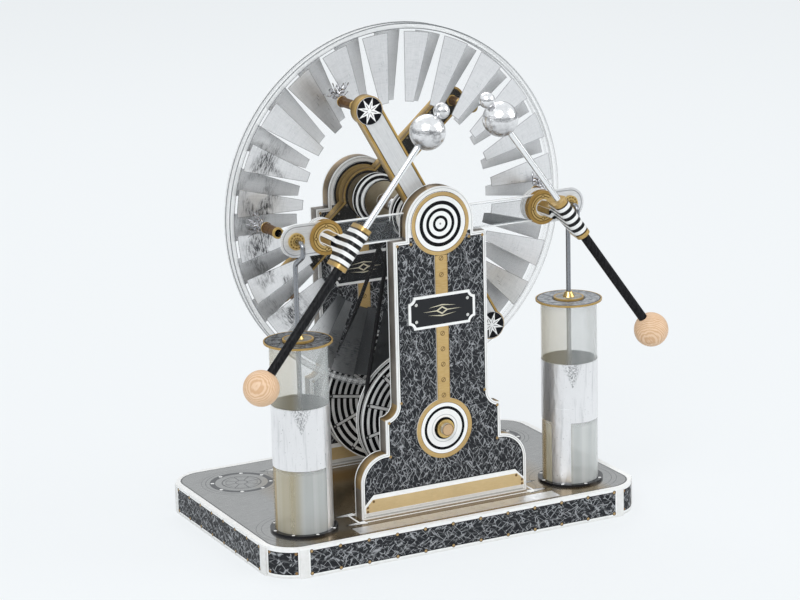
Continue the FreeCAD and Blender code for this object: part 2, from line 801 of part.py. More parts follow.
def build_jars():
    ring_top = top_z + jar_ring
    tubes, foils, lids, nuts, rings, wires = [], [], [], [], [], []
    lid_low = jar_lid_z - card
    lid_high = jar_lid_z + lid_boss
    nut_top = lid_high + lid_nut
    boss_y = arm_front_y + card + boss
    for s in (-1, 1):
        x = s * terminal_x
        tubes.append(tube_z(jar_r, jar_r - jar_wall, top_z, lid_low, x, -jar_y))
        outer = jar_r + foil
        inner = jar_r - jar_wall
        foils.append(tube_z(outer, jar_r, foil_low_z, foil_high_z, x, -jar_y))
        foils.append(tube_z(inner, inner - foil, foil_low_z, foil_high_z, x, -jar_y))
        lid = rod_z(jar_lid_r, lid_low, jar_lid_z, x, -jar_y)
        cap = rod_z(lid_boss_r, jar_lid_z, lid_high, x, -jar_y)
        wire_hole = rod_z(wire_r, lid_low - past, nut_top + past, x, -jar_y)
        lids.append(lid.fuse(cap).cut(wire_hole))
        nut = Part.makeCone(lid_nut_r, lid_nut_top_r, lid_nut, V(x, -jar_y, lid_high))
        nuts.append(nut.cut(wire_hole))
        rings.append(tube_z(jar_ring_r, jar_r, top_z, ring_top, x, -jar_y))
        bow_y = -jar_y - wire_bow
        route = [V(x, -jar_y, wire_low_z), V(x, -jar_y, wire_bow_z),
                 V(x, bow_y, wire_bow_z + wire_bow_rise), V(x, bow_y, axle_z), V(x, -boss_y, axle_z)]
        wires.append(swept_bar(rounded_path(route, [wire_bend_r] * 3), wire_r))
        wires.append(Part.makeCone(wire_tuft_r, tuft_r, wire_tuft, V(x, -jar_y, wire_low_z), -UP))
    save("jar_tubes", tubes)
    save("jar_foils", foils)
    save("jar_lids", lids)
    save("lid_nuts", nuts)
    save("jar_rings", rings)
    save("jar_wires", wires)


def build_foil_strip():
    # The strip that joins the jars' outer foils, with a tail up each jar on the inner front side.
    solids = []
    z0, z1 = top_z, top_z + foil
    solids.append(block(-strip_end_x, strip_end_x, -strip_front_y, -strip_back_y, z0, z1))
    clear = jar_r + foil
    tail_top = foil_low_z + tail_lap
    for s in (-1, 1):
        x = s * terminal_x
        tail = tube_z(clear + foil, clear, top_z + jar_ring, tail_top, x, -jar_y)
        tail_x = x - s * clear * math.sqrt(0.5)
        front = block(tail_x - tail_width / 2, tail_x + tail_width / 2,
                      -jar_y - clear - past, -jar_y, top_z, tail_top)
        solids.append(tail.common(front))
    save("foil_strip", solids)


build_base()
for tower_name, tower_side in (("front", -1), ("rear", 1)):
    build_tower(tower_name, tower_side)
build_axle()
build_disc("front", -1, sector_phase_deg)
build_disc("rear", 1, rear_phase_deg)
build_drive()
build_belt("front_belt", -belt_y, False)
build_belt("rear_belt", belt_y, True)
build_neutralizer("front", -1, front_tilt_deg)
build_neutralizer("rear", 1, rear_tilt_deg)
build_collectors()
build_electrode("left", -1, left_lean_deg)
build_electrode("right", 1, right_lean_deg)
build_jars()
build_foil_strip()
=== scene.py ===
import math
import random

import bpy
from mathutils import Matrix, Vector


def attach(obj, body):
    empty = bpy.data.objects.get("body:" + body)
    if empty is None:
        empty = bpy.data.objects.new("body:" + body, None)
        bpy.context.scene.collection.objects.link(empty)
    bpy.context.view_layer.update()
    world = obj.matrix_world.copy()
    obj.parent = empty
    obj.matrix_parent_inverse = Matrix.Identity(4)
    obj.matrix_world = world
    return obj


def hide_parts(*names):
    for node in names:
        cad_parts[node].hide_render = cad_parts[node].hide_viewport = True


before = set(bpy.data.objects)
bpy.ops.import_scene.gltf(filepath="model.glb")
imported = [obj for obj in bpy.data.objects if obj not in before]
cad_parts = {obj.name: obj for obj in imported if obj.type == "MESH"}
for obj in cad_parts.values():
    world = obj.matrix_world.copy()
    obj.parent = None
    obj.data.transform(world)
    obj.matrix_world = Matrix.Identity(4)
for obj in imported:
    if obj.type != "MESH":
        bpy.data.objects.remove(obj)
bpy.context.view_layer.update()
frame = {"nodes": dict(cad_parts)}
nodes = frame["nodes"]
MM = 0.001
BASE_HIGH = 20.6
AXLE_Z = 215.8
SHAFT_Z = 75.2
HUB_X = 80.7
JAR_X = 102.0
JAR_Y = -56.3
BAR_END = 89.5
EIGHTH = math.pi / 4
SHARP = math.radians(40)
LEFT_LEAN = 39.0
RIGHT_LEAN = -36.0
FRONT_TILT = -29.3
REAR_TILT = 49.0

# Printed colours, linear
WHITE = (0.90, 0.90, 0.89)
INK = (0.004, 0.004, 0.005)
CREASE = (0.36, 0.37, 0.385)
SILVER = (0.56, 0.57, 0.58)
BROWN = (0.16, 0.10, 0.04)


def written(kind, swapped=False):
    """An operator that adds a Math node of this kind, with its two values swapped if need be."""
    if swapped:
        return lambda tone, other: tone.math(kind, other, tone)
    return lambda tone, *others: tone.math(kind, tone, *others)


class Tone:
    """One socket of a node tree; a sum written on it adds Math nodes."""

    def __init__(self, nodes, socket):
        self.nodes = nodes
        self.socket = socket

    def math(self, kind, *values):
        return self.nodes.node("ShaderNodeMath", values, operation=kind)

    __add__ = __radd__ = written("ADD")
    __sub__ = written("SUBTRACT")
    __rsub__ = written("SUBTRACT", True)
    __mul__ = __rmul__ = written("MULTIPLY")
    __truediv__ = written("DIVIDE")
    __mod__ = written("FLOORED_MODULO")
    __pow__ = written("POWER")
    __lt__ = written("LESS_THAN")
    __gt__ = written("GREATER_THAN")
    __abs__ = written("ABSOLUTE")
    low = written("MINIMUM")
    high = written("MAXIMUM")
    sin = written("SINE")
    cos = written("COSINE")
    floor = written("FLOOR")

    def ramp(self, start=0.3, end=0.7):
        """0 below start, 1 above end."""
        return self.nodes.node("ShaderNodeMapRange", {"Value": self, "From Min": start, "From Max": end})


class Nodes:
    """A node tree, of a material or of the world, written with tones."""

    def __init__(self, owner):
        owner.use_nodes = True
        self.tree = owner.node_tree

    def fill(self, target, value):
        """Link a tone to a socket, or write a plain value in it; one number is a grey."""
        if isinstance(value, Tone):
            self.tree.links.new(value.socket, target)
        elif target.type == "RGBA":
            target.default_value = (*value, 1.0) if isinstance(value, tuple) else (value, value, value, 1.0)
        else:
            target.default_value = value

    def node(self, kind, values=(), out=0, **settings):
        new = self.tree.nodes.new(kind)
        for name, value in settings.items():
            setattr(new, name, value)
        pairs = values.items() if isinstance(values, dict) else enumerate(values)
        for key, value in pairs:
            self.fill(new.inputs[key], value)
        return Tone(self, new.outputs[out])

    def place(self):
        """Where a point is in the part's own frame, in millimetres."""
        here = self.node("ShaderNodeTexCoord", out="Object")
        return self.node("ShaderNodeVectorMath", {0: here, "Scale": 1000.0}, operation="SCALE")

    def xyz(self, vector=None):
        split = self.tree.nodes.new("ShaderNodeSeparateXYZ")
        self.tree.links.new((vector or self.place()).socket, split.inputs[0])
        return [Tone(self, split.outputs[i]) for i in range(3)]

    def facing(self):
        return self.xyz(self.node("ShaderNodeTexCoord", out="Normal"))

    def aside(self, axis=1):
        """1 on the surfaces that run along an axis (0 X, 1 Y, 2 Z), 0 on those that face it."""
        return abs(self.facing()[axis]) < 0.5

    def glance(self, blend=0.35):
        return self.node("ShaderNodeLayerWeight", {"Blend": blend}, out="Facing")

    def join(self, x, y, z):
        return self.node("ShaderNodeCombineXYZ", (x, y, z))

    def mix(self, share, first, second):
        """first where share is 0, second where it is 1."""
        return self.node("ShaderNodeMix", {0: share, 6: first, 7: second}, out=2, data_type="RGBA")

    def over(self, colour, *layers):
        """A colour with layers over it, each a pair of where it lies and its own colour."""
        for where, layer in layers:
            colour = self.mix(where, colour, layer)
        return colour

    def grain(self, scale, detail=3.0, where=None, roughness=0.55):
        """Noise at a point, or at three coordinates."""
        where = self.join(*where) if isinstance(where, tuple) else where
        values = {"Vector": where or self.place(), "Scale": scale, "Detail": detail, "Roughness": roughness}
        return self.node("ShaderNodeTexNoise", values)

    def cells(self, scale, where):
        """Distance to the nearest edge between cells."""
        return self.node("ShaderNodeTexVoronoi", {"Vector": where, "Scale": scale}, feature="DISTANCE_TO_EDGE")

    def polar(self, across, along):
        return length(across, along), across.math("ARCTAN2", across, along)


class Finish(Nodes):
    """A material and the nodes that print, brush or polish it."""

    def __init__(self, name, roughness=0.5, metallic=0.0, **sockets):
        self.material = bpy.data.materials.new(name)
        super().__init__(self.material)
        self.shader = self.tree.nodes["Principled BSDF"]
        usual = {"Roughness": roughness, "Metallic": metallic, "Specular_IOR_Level": 0.07}
        self.set(**{**usual, **sockets})

    def set(self, **sockets):
        """Fill the shader's sockets, their names written with underscores; gives the finish back."""
        for socket, value in sockets.items():
            self.fill(self.shader.inputs[socket.replace("_", " ")], value)
        return self

    def bump(self, height, strength=0.3, distance=0.0002):
        values = {"Height": height, "Strength": strength, "Distance": distance}
        return self.set(Normal=self.node("ShaderNodeBump", values))

    def paint(self, colour, amount=0.05, scale=0.35):
        """Base colour with a slight unevenness, so that no surface is one flat colour."""
        dark = self.mix(amount, colour, 0.0)
        return self.set(Base_Color=self.mix(self.grain(scale, 4.0).ramp(0.35, 0.7), colour, dark))


def begun(*about, **sockets):
    """A new finish and the three coordinates of a point on it."""
    f = Finish(*about, **sockets)
    return [f] + f.xyz()


def length(across, along):
    return (across * across + along * along) ** 0.5


def dot(across, along, x, z, r):
    """1 within r of the point (x, z)."""
    return length(across - x, along - z) < r


def folded(value, pitch, start=0.0):
    """A value counted from the middle of its own step of the given pitch; one middle is at start."""
    return ((value - start + pitch / 2) % pitch) - pitch / 2


def slices(r, angle, pitch, start=0.0):
    """(outward, sideways) of a point within its own slice of a circle."""
    turn = folded(angle, pitch, start)
    return r * turn.cos(), r * turn.sin()


def leaned(x, z, degrees, x0=0.0, z0=0.0):
    """(across, along) of a point for a piece that leans by degrees about a line along Y."""
    a = math.radians(degrees)
    dx, dz = x - x0, z - z0
    return dx * math.cos(a) - dz * math.sin(a), dx * math.sin(a) + dz * math.cos(a)


def creases(f, where, turn, size):
    """Pale strokes along one slant, broken off here and there."""
    spun = f.node("ShaderNodeVectorRotate", {"Vector": where, "Angle": math.radians(turn)}, rotation_type="Y_AXIS")
    drawn = f.node("ShaderNodeVectorMath", {0: spun, 1: (1.0, 1.0, 0.32)}, operation="MULTIPLY")
    sway = f.node("ShaderNodeTexNoise", {"Vector": drawn, "Scale": 0.8 / size, "Detail": 2.0}, out="Color")
    sway = f.node("ShaderNodeVectorMath", {0: sway, "Scale": size * 0.32}, operation="SCALE")
    bent = f.node("ShaderNodeVectorMath", (drawn, sway), operation="ADD")
    stroke = 1 - f.cells(1.0 / size, bent).ramp(0.018, 0.062)
    return stroke * f.grain(1.5 / size, 2.0, drawn).ramp(0.45, 0.55)


def leather(f, where, size=2.8):
    """Black crinkled leather print: short crossing creases in pale grey over charcoal."""
    line = creases(f, where, 28.0, size).high(creases(f, where, -34.0, size))
    line = line.high(creases(f, where, 72.0, size * 1.2) * 0.3)
    speck = f.grain(3.4 / size, 3.0, where).ramp(0.60, 0.74)
    line = line.high(speck * 0.24)
    shade = f.mix(f.grain(0.9 / size, 3.0, where), (0.010, 0.011, 0.013), (0.036, 0.038, 0.043))
    return f.mix(line, shade, CREASE), line


def targets(f, radius, rings):
    """Colours by radius: a list of (outer radius, colour), widest first."""
    return f.over(rings[0][1], *[(radius < outer, paint) for outer, paint in rings[1:]])


# Tower skins: crinkled black with a white line round the outline and small brass pins in its corners

FOOT, FOOT_TOP, ROUND_R, STEP, COVE_R, COLUMN = 62.6, 44.4, 19.3, 43.3, 9.1, 34.3
COVE_Z = FOOT_TOP + ROUND_R + 23.0 + COVE_R
LEDGE, HEAD = 206.9, 24.9


def tower_depth(x, z):
    """How far a point lies inside the tower's outline, in millimetres."""
    side = abs(x)
    upper = z > FOOT_TOP
    above_base = z - BASE_HIGH
    depth = (FOOT - side).low(above_base) * (z < FOOT_TOP)
    turn = length(side - STEP, z - FOOT_TOP)
    depth = depth.high((ROUND_R - turn) * upper)
    depth = depth.high((FOOT_TOP + ROUND_R - z).low(above_base) * (side < STEP))
    bite = length(side - STEP, z - COVE_Z) - COVE_R
    depth = depth.high((STEP - side).low(bite) * upper * (z < COVE_Z))
    depth = depth.high((COLUMN - side).low(LEDGE - z) * upper)
    depth = depth.high((HEAD - side) * upper * (z < AXLE_Z))
    crown = length(side, z - AXLE_Z)
    return depth.high(HEAD - crown)


def tower_skin():
    """Leather print in a white line with a grey hair line, small brass pins in its corners."""
    f = Finish("tower_leather_print", 0.36)
    where = f.place()
    x, y, z = f.xyz(where)
    black, line = leather(f, where)
    depth = tower_depth(x, z)
    wide = abs(x)
    frame_top = 36.9 - (wide - 54.0).high(0.0)
    crown = length(wide, z - AXLE_Z)
    edge = (depth < 2.2).high(z < frame_top).high((crown > 21.6) * (crown < 25.0) * (z > AXLE_Z - 7.0))
    border = f.over(WHITE, ((abs(depth - 1.05) < 0.24) * 0.5, 0.26),
                    ((abs(z - 22.2) < 0.35) * (wide < 60.0) * 0.6, 0.20))
    black = f.mix((depth < 2.75).high(z < frame_top + 0.6), black, INK)
    colour = f.mix(edge, black, border)
    for px, pz in ((31.7, 204.2), (21.6, 204.3), (41.0, 84.7), (40.6, 61.3), (31.6, 97.0)):
        colour = f.mix(dot(wide, z, px, pz, 1.0), colour, (0.36, 0.24, 0.10))
    return f.paint(colour).bump(line * (1 - edge), 0.3, 0.00015)


def side_band():
    """Bronze paper round the tower's side, with a painted gold highlight where it bends."""
    f, x, y, z = begun("tower_side_bronze", 0.3, 0.6)
    lane = (abs(y) - 54.4) / 8.2
    patch = f.grain(0.035, 2.0, (x * 0.4, y * 0.6, z)).ramp(0.35, 0.65)
    shade = f.over((0.050, 0.038, 0.026), (lane.ramp(0.05, 0.95), (0.24, 0.21, 0.18)),
                   (patch * 0.55, (0.26, 0.23, 0.20)))
    # Painted highlight: over the curved stretches of the outline the band is turned gold, as if catching the light.
    bend_highlight_mask = (z > FOOT_TOP - 3.0) * (z < FOOT_TOP + ROUND_R)
    bend_highlight_mask = bend_highlight_mask.high((z > COVE_Z - COVE_R - 1) * (z < COVE_Z)).high((z > LEDGE + 2.0) * 0.55)
    bend_highlight = f.mix(lane, (0.13, 0.075, 0.022), (0.46, 0.30, 0.11))
    shade = f.over(shade, (bend_highlight_mask * 0.9, bend_highlight), (lane < 0.09, INK))
    return f.paint(shade, 0.25, 0.12).set(Roughness=f.grain(0.2, 2.0) * 0.2 + 0.22)


PLATE_Z, PLATE_HALF, PLATE_HIGH, PLATE_BITE = 157.0, 24.9, 11.25, 4.0


def inside_plate(x, rise, d):
    """1 on the name plate, further than d from its edge and its bitten corners."""
    side, rise = abs(x), abs(rise)
    corner = length(side - PLATE_HALF, rise - PLATE_HIGH) > PLATE_BITE + d
    return (side < PLATE_HALF - d) * (rise < PLATE_HIGH - d) * corner


def gold_card(f, x, z):
    """Brushed gold print: fine lengthwise lines over a soft patchy tone."""
    lines = f.grain(1.0, 2.0, (x * 0.15, 0.0, z * 3.0))
    soft = f.grain(0.05, 3.0)
    gold = f.mix(soft.ramp(), (0.56, 0.385, 0.155), (0.45, 0.295, 0.11))
    return f.mix(lines.ramp(0.4, 0.8) * 0.4, gold, (0.72, 0.57, 0.34))


def trim_print():
    """The target, bearing ring, riveted strips, plinth bar and name plate of a tower."""
    f, x, y, z = begun("tower_trim_print", 0.36)
    wide = abs(x)
    gold = gold_card(f, x, z)
    strip = f.mix((wide > 4.15) * 0.6, gold, (0.24, 0.15, 0.05))
    for height in (192.4, 181.2, 141.0, 130.3, 119.6, 108.9, 98.2):
        r = length(x, z - height)
        strip = f.mix((r < 1.75) * (r > 1.15) * 0.8, strip, BROWN)
        strip = f.mix((r < 1.15) * (abs(x - (z - height) * 0.8) < 0.32), strip, (0.12, 0.07, 0.03))
    r = length(x, z - AXLE_Z)
    target = targets(f, r, ((22.0, (0.12, 0.08, 0.03)), (21.3, gold), (18.9, BROWN), (18.5, WHITE), (15.4, INK),
                            (12.9, WHITE), (10.5, INK), (8.4, WHITE), (5.5, INK), (3.6, WHITE), (0.7, 0.3)))
    shade = ((x + z - AXLE_Z) / 40.0 + f.grain(0.06, 2.0) * 0.6).ramp(-0.2, 0.9)
    plain = f.over((0.15, 0.10, 0.035), (shade, (0.50, 0.35, 0.14)), (r > 19.6, INK))
    target = f.mix(y > 0.0, target, plain)
    colour = f.mix(z > AXLE_Z - 21.5, strip, target)
    r = length(x, z - SHAFT_Z)
    bearing = targets(f, r, ((22.0, gold), (17.9, BROWN), (17.6, WHITE), (15.1, INK), (13.2, WHITE),
                             (9.7, SILVER), (9.2, WHITE), (7.6, INK)))
    colour = f.mix(z < SHAFT_Z + 21.0, colour, bearing)
    # Plinth bar, its ends cut off at a slope, with three pins at each
    slope = (wide - 55.0).high(0.0) + z
    bar = (wide < 60.2) * (z > 25.2) * (slope < 34.0)
    plinth = f.mix(bar, WHITE, f.mix(0.35, gold, (0.80, 0.66, 0.42)))
    for px, pz in ((58.9, 28.9), (54.4, 32.6), (58.9, 26.0)):
        plinth = f.mix(dot(wide, z, px, pz, 0.95), plinth, (0.17, 0.10, 0.04))
    colour = f.mix(z < 36.0, colour, plinth)
    # Name plate, 5 mm higher on the rear tower: an engraved rule with a lozenge, no lettering
    rise = z - PLATE_Z - (y > 0.0) * 5.0
    high = abs(rise)
    on_plate = (high < PLATE_HIGH + 0.05) * (wide < 26.0)
    plate = f.mix(inside_plate(x, rise, 1.8), WHITE, (0.022, 0.023, 0.026))
    rule = high < (1 - wide / 14.5) * 0.5
    lozenge = (wide * 0.6 + high) < 2.8
    hollow = (wide * 0.6 + high) < 1.7
    leaf = abs(high - 3.7 + wide * 0.12) < (1 - wide / 10.5) * 0.42
    plate = f.mix((rule.high(lozenge) * (1 - hollow)).high(leaf), plate, (0.62, 0.58, 0.44))
    stud = length(wide - 19.2, high - 5.8)
    plate = f.over(plate, (stud < 1.45, INK), (stud < 1.1, (0.62, 0.62, 0.60)))
    colour = f.mix(on_plate, colour, plate)
    # The cut edges of the card are white
    colour = f.mix(f.aside() * 0.75, colour, WHITE)
    return f.paint(colour).set(Roughness=f.grain(0.4, 3.0) * 0.2 + 0.26, Coat_Weight=0.15)


# Base


def medallion(f, x, y, colour):
    """Porthole rings printed on the base top, with spokes, rivets and fine lines round them."""
    r, angle = f.polar(abs(x) - 99.0, y - 53.0)
    dark = (0.035, 0.036, 0.040)
    for radius, width, tone in ((28.0, 0.25, 0.4), (25.0, 0.3, 0.5), (13.5, 0.45, 0.75), (11.0, 0.3, 0.5)):
        colour = f.mix((abs(r - radius) < width) * tone, colour, dark)
    colour = f.mix((r < 22.2) * (r > 18.4) * 0.88, colour, (0.045, 0.047, 0.054))
    out, off = slices(r, angle, EIGHTH)
    spoke = (abs(off) < 0.38) * (r < 13.5) * (r > 4.0)
    colour = f.mix((abs(r - 4.0) < 0.4).high(spoke) * 0.7, colour, dark)
    out, off = slices(r, angle, EIGHTH, EIGHTH / 2)
    rivet = dot(out, off, 20.3, 0.0, 1.304)
    return f.mix(rivet, colour, WHITE), rivet


def rounded_box(x, y, half_x, half_y, r):
    """Distance outside a rounded rectangle, negative inside."""
    dx, dy = abs(x) - (half_x - r), abs(y) - (half_y - r)
    return length(dx.high(0.0), dy.high(0.0)) + dx.high(dy).low(0.0) - r


def base_top():
    """Brushed metal paper with fine contour lines and a white edge: it mirrors what stands on it, and a warm
    painted reflection of the gold and bronze parts is laid on it.
    """
    f, x, y, z = begun("base_top_print", 0.2, 0.9)
    brushed = f.grain(1.0, 3.0, (x * 0.12, y * 2.4, z))
    tone = f.mix(brushed.ramp(0.3, 0.75), (0.30, 0.30, 0.295), (0.42, 0.42, 0.415))
    # Painted reflection: a warm brown glow round the towers' feet and in front of the jars, standing for the gold
    # and bronze parts mirrored in the base.
    warm = 1 - (rounded_box(x, y + 20.0, 66.0, 62.0, 20.0) / 34.0).ramp(0.0, 1.0)
    warm = warm.high((1 - abs(abs(x) - 92.0) / 26.0).ramp(0.0, 0.5) * (0.0 - y).ramp(68.0, 78.0))
    tone = f.mix(warm * 0.78, tone, (0.34, 0.23, 0.09))
    foot = rounded_box(x, y, 70.0, 68.0, 12.0)
    jar = length(abs(x) - JAR_X, y - JAR_Y) - 26.0
    contour = foot.low(jar)
    lines = (abs(contour - 6.0) < 0.22).high(abs(contour - 2.5) < 0.22)
    tone = f.mix(lines * 0.5, tone, (0.04, 0.04, 0.045))
    tone, studs = medallion(f, x, y, tone)
    # White lines round each tower's foot, with a pointed leaf at each corner
    near_y = abs(y) - 58.5
    near = rounded_box(x, near_y, 66.5, 9.6, 2.0)
    white = abs(near) < 0.75
    leaf_x, leaf_y = (abs(x) - 62.0) / 17.0, abs(abs(near_y) - 9.2)
    inked = (leaf_y < (1 - leaf_x) * 4.2) * (leaf_x > 0.0) * (leaf_x < 1.0)
    leaf = (leaf_y < (0.9 - leaf_x) * 3.2) * (leaf_x > 0.0) * (leaf_x < 1.0)
    vein = leaf_y < 0.35
    tone = f.mix(inked, tone, INK)
    white = white.high(leaf * (1 - vein))
    edge = rounded_box(x, y, 140.5, 94.0, 24.0)
    white = white.high(edge > -4.2).high(studs)
    tone = f.over(tone, (white, WHITE), ((abs(edge + 4.9) < 0.4) * 0.8, 0.05))
    side = f.aside(2)
    tone = f.mix(side, tone, WHITE)
    f.paint(tone, 0.06)
    return f.set(Metallic=(1 - white.high(side)) * 0.9, Roughness=brushed * 0.12 + white * 0.2 + 0.13)


def base_wall():
    """Leather print on the skirts, white edges, brass pins along both."""
    f, x, y, z = begun("base_wall_print", 0.4)
    black, line = leather(f, f.join((x + y) * 0.8, 0.0, z * 1.35), 3.4)
    along_x = abs(y) > 90.0
    reach_x, reach_y = abs(x), abs(y)
    edge = (z > 18.4).high(z < 2.3)
    edge = edge.high(along_x * (reach_x > 115.6)).high((reach_x > 137.0) * (reach_y > 69.0))
    outline = (z > 17.9).high(z < 2.8)
    step = along_x * folded(x, 20.84, -114.6) + (1 - along_x) * folded(y, 19.43, -68.0)
    pin = length(step, abs(z - 10.35) - 7.6)
    colour = f.over(black, (outline, INK), (edge, WHITE), (pin < 1.35, INK), (pin < 1.0, (0.42, 0.29, 0.14)))
    return f.paint(colour).bump(line * (1 - edge), 0.3, 0.00015)


def corner_wall():
    """The skirts' print on the curved corners."""
    f, x, y, z = begun("corner_wall_print", 0.38)
    angle = f.polar(abs(y) - 70.0, abs(x) - 116.5)[1] * (180 / math.pi)
    black, line = leather(f, f.join(angle * 0.34, y * 0.02, z * 1.3), 4.2)
    turn = abs(angle - 45.0)
    edge = (z > 17.8).high(z < 2.4).high(turn > 27.6)
    colour = f.over(black, ((z > 17.2).high(z < 3.0).high(turn > 26.4), INK), (edge, WHITE),
                    (dot(turn, abs(z - 10.1) * 2.5, 24.4, 16.6, 2.6), (0.26, 0.15, 0.06)))
    return f.paint(colour).bump(line * (1 - edge), 0.25, 0.00015)


def white_card(name):
    f = Finish(name, 0.5)
    f.paint(f.mix(f.grain(0.25, 3.0), WHITE, (0.72, 0.71, 0.69)))
    return f.bump(f.grain(4.0, 3.0), 0.05, 0.0001)


def grey_card():
    f = Finish("grey_board", 0.8)
    fibre = f.grain(2.5, 5.0)
    f.set(Base_Color=f.mix(fibre.ramp(), (0.30, 0.29, 0.27), (0.20, 0.19, 0.18)))
    return f.bump(fibre, 0.2, 0.0001)


# Drive


def drive_wheel(name, first_spoke):
    """Card wheel: pale tread with white lines, black and silver rings, twelve riveted spokes."""
    f, x, y, z = begun(name, 0.34)
    r, angle = f.polar(x, z - SHAFT_Z)
    silver = f.mix(f.grain(0.06, 2.0).ramp(0.35, 0.65), (0.88, 0.88, 0.87), 0.60)
    across = abs(slices(r, angle, math.pi / 6, math.radians(first_spoke))[1])
    reach = (r < 43.6) * (r > 9.0)
    stud = length(across, r - 43.0)
    face = f.over(silver, (((44.7 - r) % 4.55) < 2.4, INK), ((across < 1.45) * reach, INK),
                  ((across < 0.95) * reach, silver), (stud < 1.5, 0.03), (stud < 0.6, 0.4), (r > 44.7, WHITE),
                  (r < 9.6, (0.40, 0.38, 0.34)), (abs(r - 8.4) < 0.5, INK))
    lane = abs(abs(y) - 27.4)
    tread = f.over((0.62, 0.61, 0.60), (f.grain(0.05, 2.0).ramp(0.35, 0.65), (0.40, 0.40, 0.39)),
                   (abs(lane - 3.1) < 0.3, 0.10), (lane > 4.0, WHITE), (r < 44.0, 0.10))
    return f.paint(f.mix(f.aside(), face, tread), 0.08).set(Roughness=f.grain(0.5, 3.0) * 0.2 + 0.24)


def pulley():
    """Stepped card pulley: bronze cap with painted shading, then white and black rings."""
    f, x, y, z = begun("pulley_print", 0.32)
    r = length(x, z - AXLE_Z)
    depth = abs(y)
    # Painted shade: the bronze cap runs from dark at the lower left to light at the upper right, as if lit from
    # there.
    slope = (x * 0.6 + (z - AXLE_Z) * 0.35) / 14.0
    cap = f.mix((slope + f.grain(0.12, 2.0) * 0.6).ramp(-0.3, 1.0), (0.10, 0.075, 0.04), (0.52, 0.45, 0.32))
    cap = f.mix(r > 13.6, cap, INK)
    face = f.mix(depth < 20.5, f.mix(r < 16.5, WHITE, INK), cap)
    back = f.mix(((r - 15.4) % 4.4) < 2.2, WHITE, INK)
    face = f.mix(depth > 27.0, face, back)
    rim = f.over(WHITE, (abs(depth - 20.2) < 0.35, INK), ((r < 16.0) * (depth > 24.5), 0.05))
    colour = f.over(face, (f.aside(), rim), (depth < 19.0, (0.16, 0.12, 0.08)))
    return f.paint(colour, 0.08).set(Metallic=(depth < 20.5) * (r < 13.6) * 0.25)


def belt_rubber():
    f = Finish("belt_rubber", 0.55)
    scuff = f.grain(1.6, 3.0)
    f.set(Base_Color=f.mix(scuff.ramp(0.4, 0.8), (0.012, 0.012, 0.013), (0.035, 0.035, 0.037)))
    return f.bump(scuff, 0.15, 0.0001)


# Metals, wood and plastics


def polished(name, colour, roughness, brush=None, scale=1.0):
    """Metal, brushed along one way if need be: brush stretches its marks."""
    f, x, y, z = begun(name, roughness, 1.0)
    mark = f.grain(scale, 3.0, f.join(*[a * b for a, b in zip((x, y, z), brush)]) if brush else None)
    pale = tuple(min(1.0, c * 1.12) for c in colour)
    f.set(Base_Color=f.mix(mark.ramp(), colour, pale), Roughness=mark * 0.16 + (roughness - 0.08))
    return f.bump(mark, 0.05, 0.00005)


def turned_wood(name, pale, dark, lean, scale=0.35):
    """Close-grained turned wood with rings along the grain."""
    f, x, y, z = begun(name, 0.45)
    across, along = leaned(x, z, lean)
    where = f.join(across, y, along * 0.12)
    rings = f.node("ShaderNodeTexWave", {"Vector": where, "Scale": scale, "Distortion": 5.0, "Detail": 3.0,
                                         "Detail Scale": 1.2}, out="Fac", wave_type="BANDS",
                   bands_direction="DIAGONAL")
    fibre = f.grain(2.6, 4.0, (across * 2.0, y * 2.0, along * 0.2))
    colour = f.over(pale, (rings.ramp(0.2, 0.9), dark), (fibre.ramp(0.45, 0.75) * 0.35, dark))
    return f.set(Base_Color=colour, Coat_Weight=0.15).bump(fibre, 0.12, 0.0001)


def clear_plastic():
    """Thin clear sheet: nearly unseen face on, white along its cut edges."""
    f, x, y, z = begun("collector_clear_arm", 0.06, Specular_IOR_Level=0.5)
    glance = f.glance()
    scuff = f.grain(0.25, 4.0)
    rise = abs(z - AXLE_Z)
    cut = f.aside().high(rise > 8.2).high(abs(x) < 14.8)
    line = (rise > 7.5) * (rise < 7.9) * 0.45
    f.set(Base_Color=f.mix(cut, (0.42, 0.45, 0.47), (0.92, 0.93, 0.93)))
    f.set(Alpha=(glance ** 2.2 * 0.3 + scuff * 0.03 + 0.05).high(cut * 0.85).high(line))
    return f.set(Roughness=scuff * 0.08 + 0.04)


def disc_plastic():
    """Clear disc, all but unseen face on, with a bright cut edge and fine lines near its rim: painted shade and
    highlight of its thick edge, stronger towards the upper left.
    """
    f, x, y, z = begun("clear_disc", 0.05, Specular_IOR_Level=0.5)
    r = length(x, z - AXLE_Z)
    glance = f.glance()
    cut = f.aside()
    # Painted shade and highlight: dark lines at the rim and a pale band between them stand for light on the disc's
    # thick edge.
    rim = (r > 124.2).high(abs(r - 121.3) < 0.3) * (1 - cut)
    lens = (r > 121.6) * (r < 124.2) * (1 - cut)
    # Painted light: the cut edge and rim lines are made stronger towards the upper left.
    left = (0.0 - x + z - AXLE_Z).ramp(-120.0, 110.0)
    alpha = glance ** 2.8 * 0.30 + 0.004
    alpha = alpha.high(cut * (left * 0.4 + 0.45)).high(rim * (left * 0.6 + 0.14)).high(lens * (left * 0.35 + 0.12))
    colour = f.mix(cut.high(lens), (0.84, 0.86, 0.87), (0.94, 0.95, 0.95))
    return f.set(Base_Color=f.mix(rim, colour, (0.16, 0.17, 0.18)), Alpha=alpha)


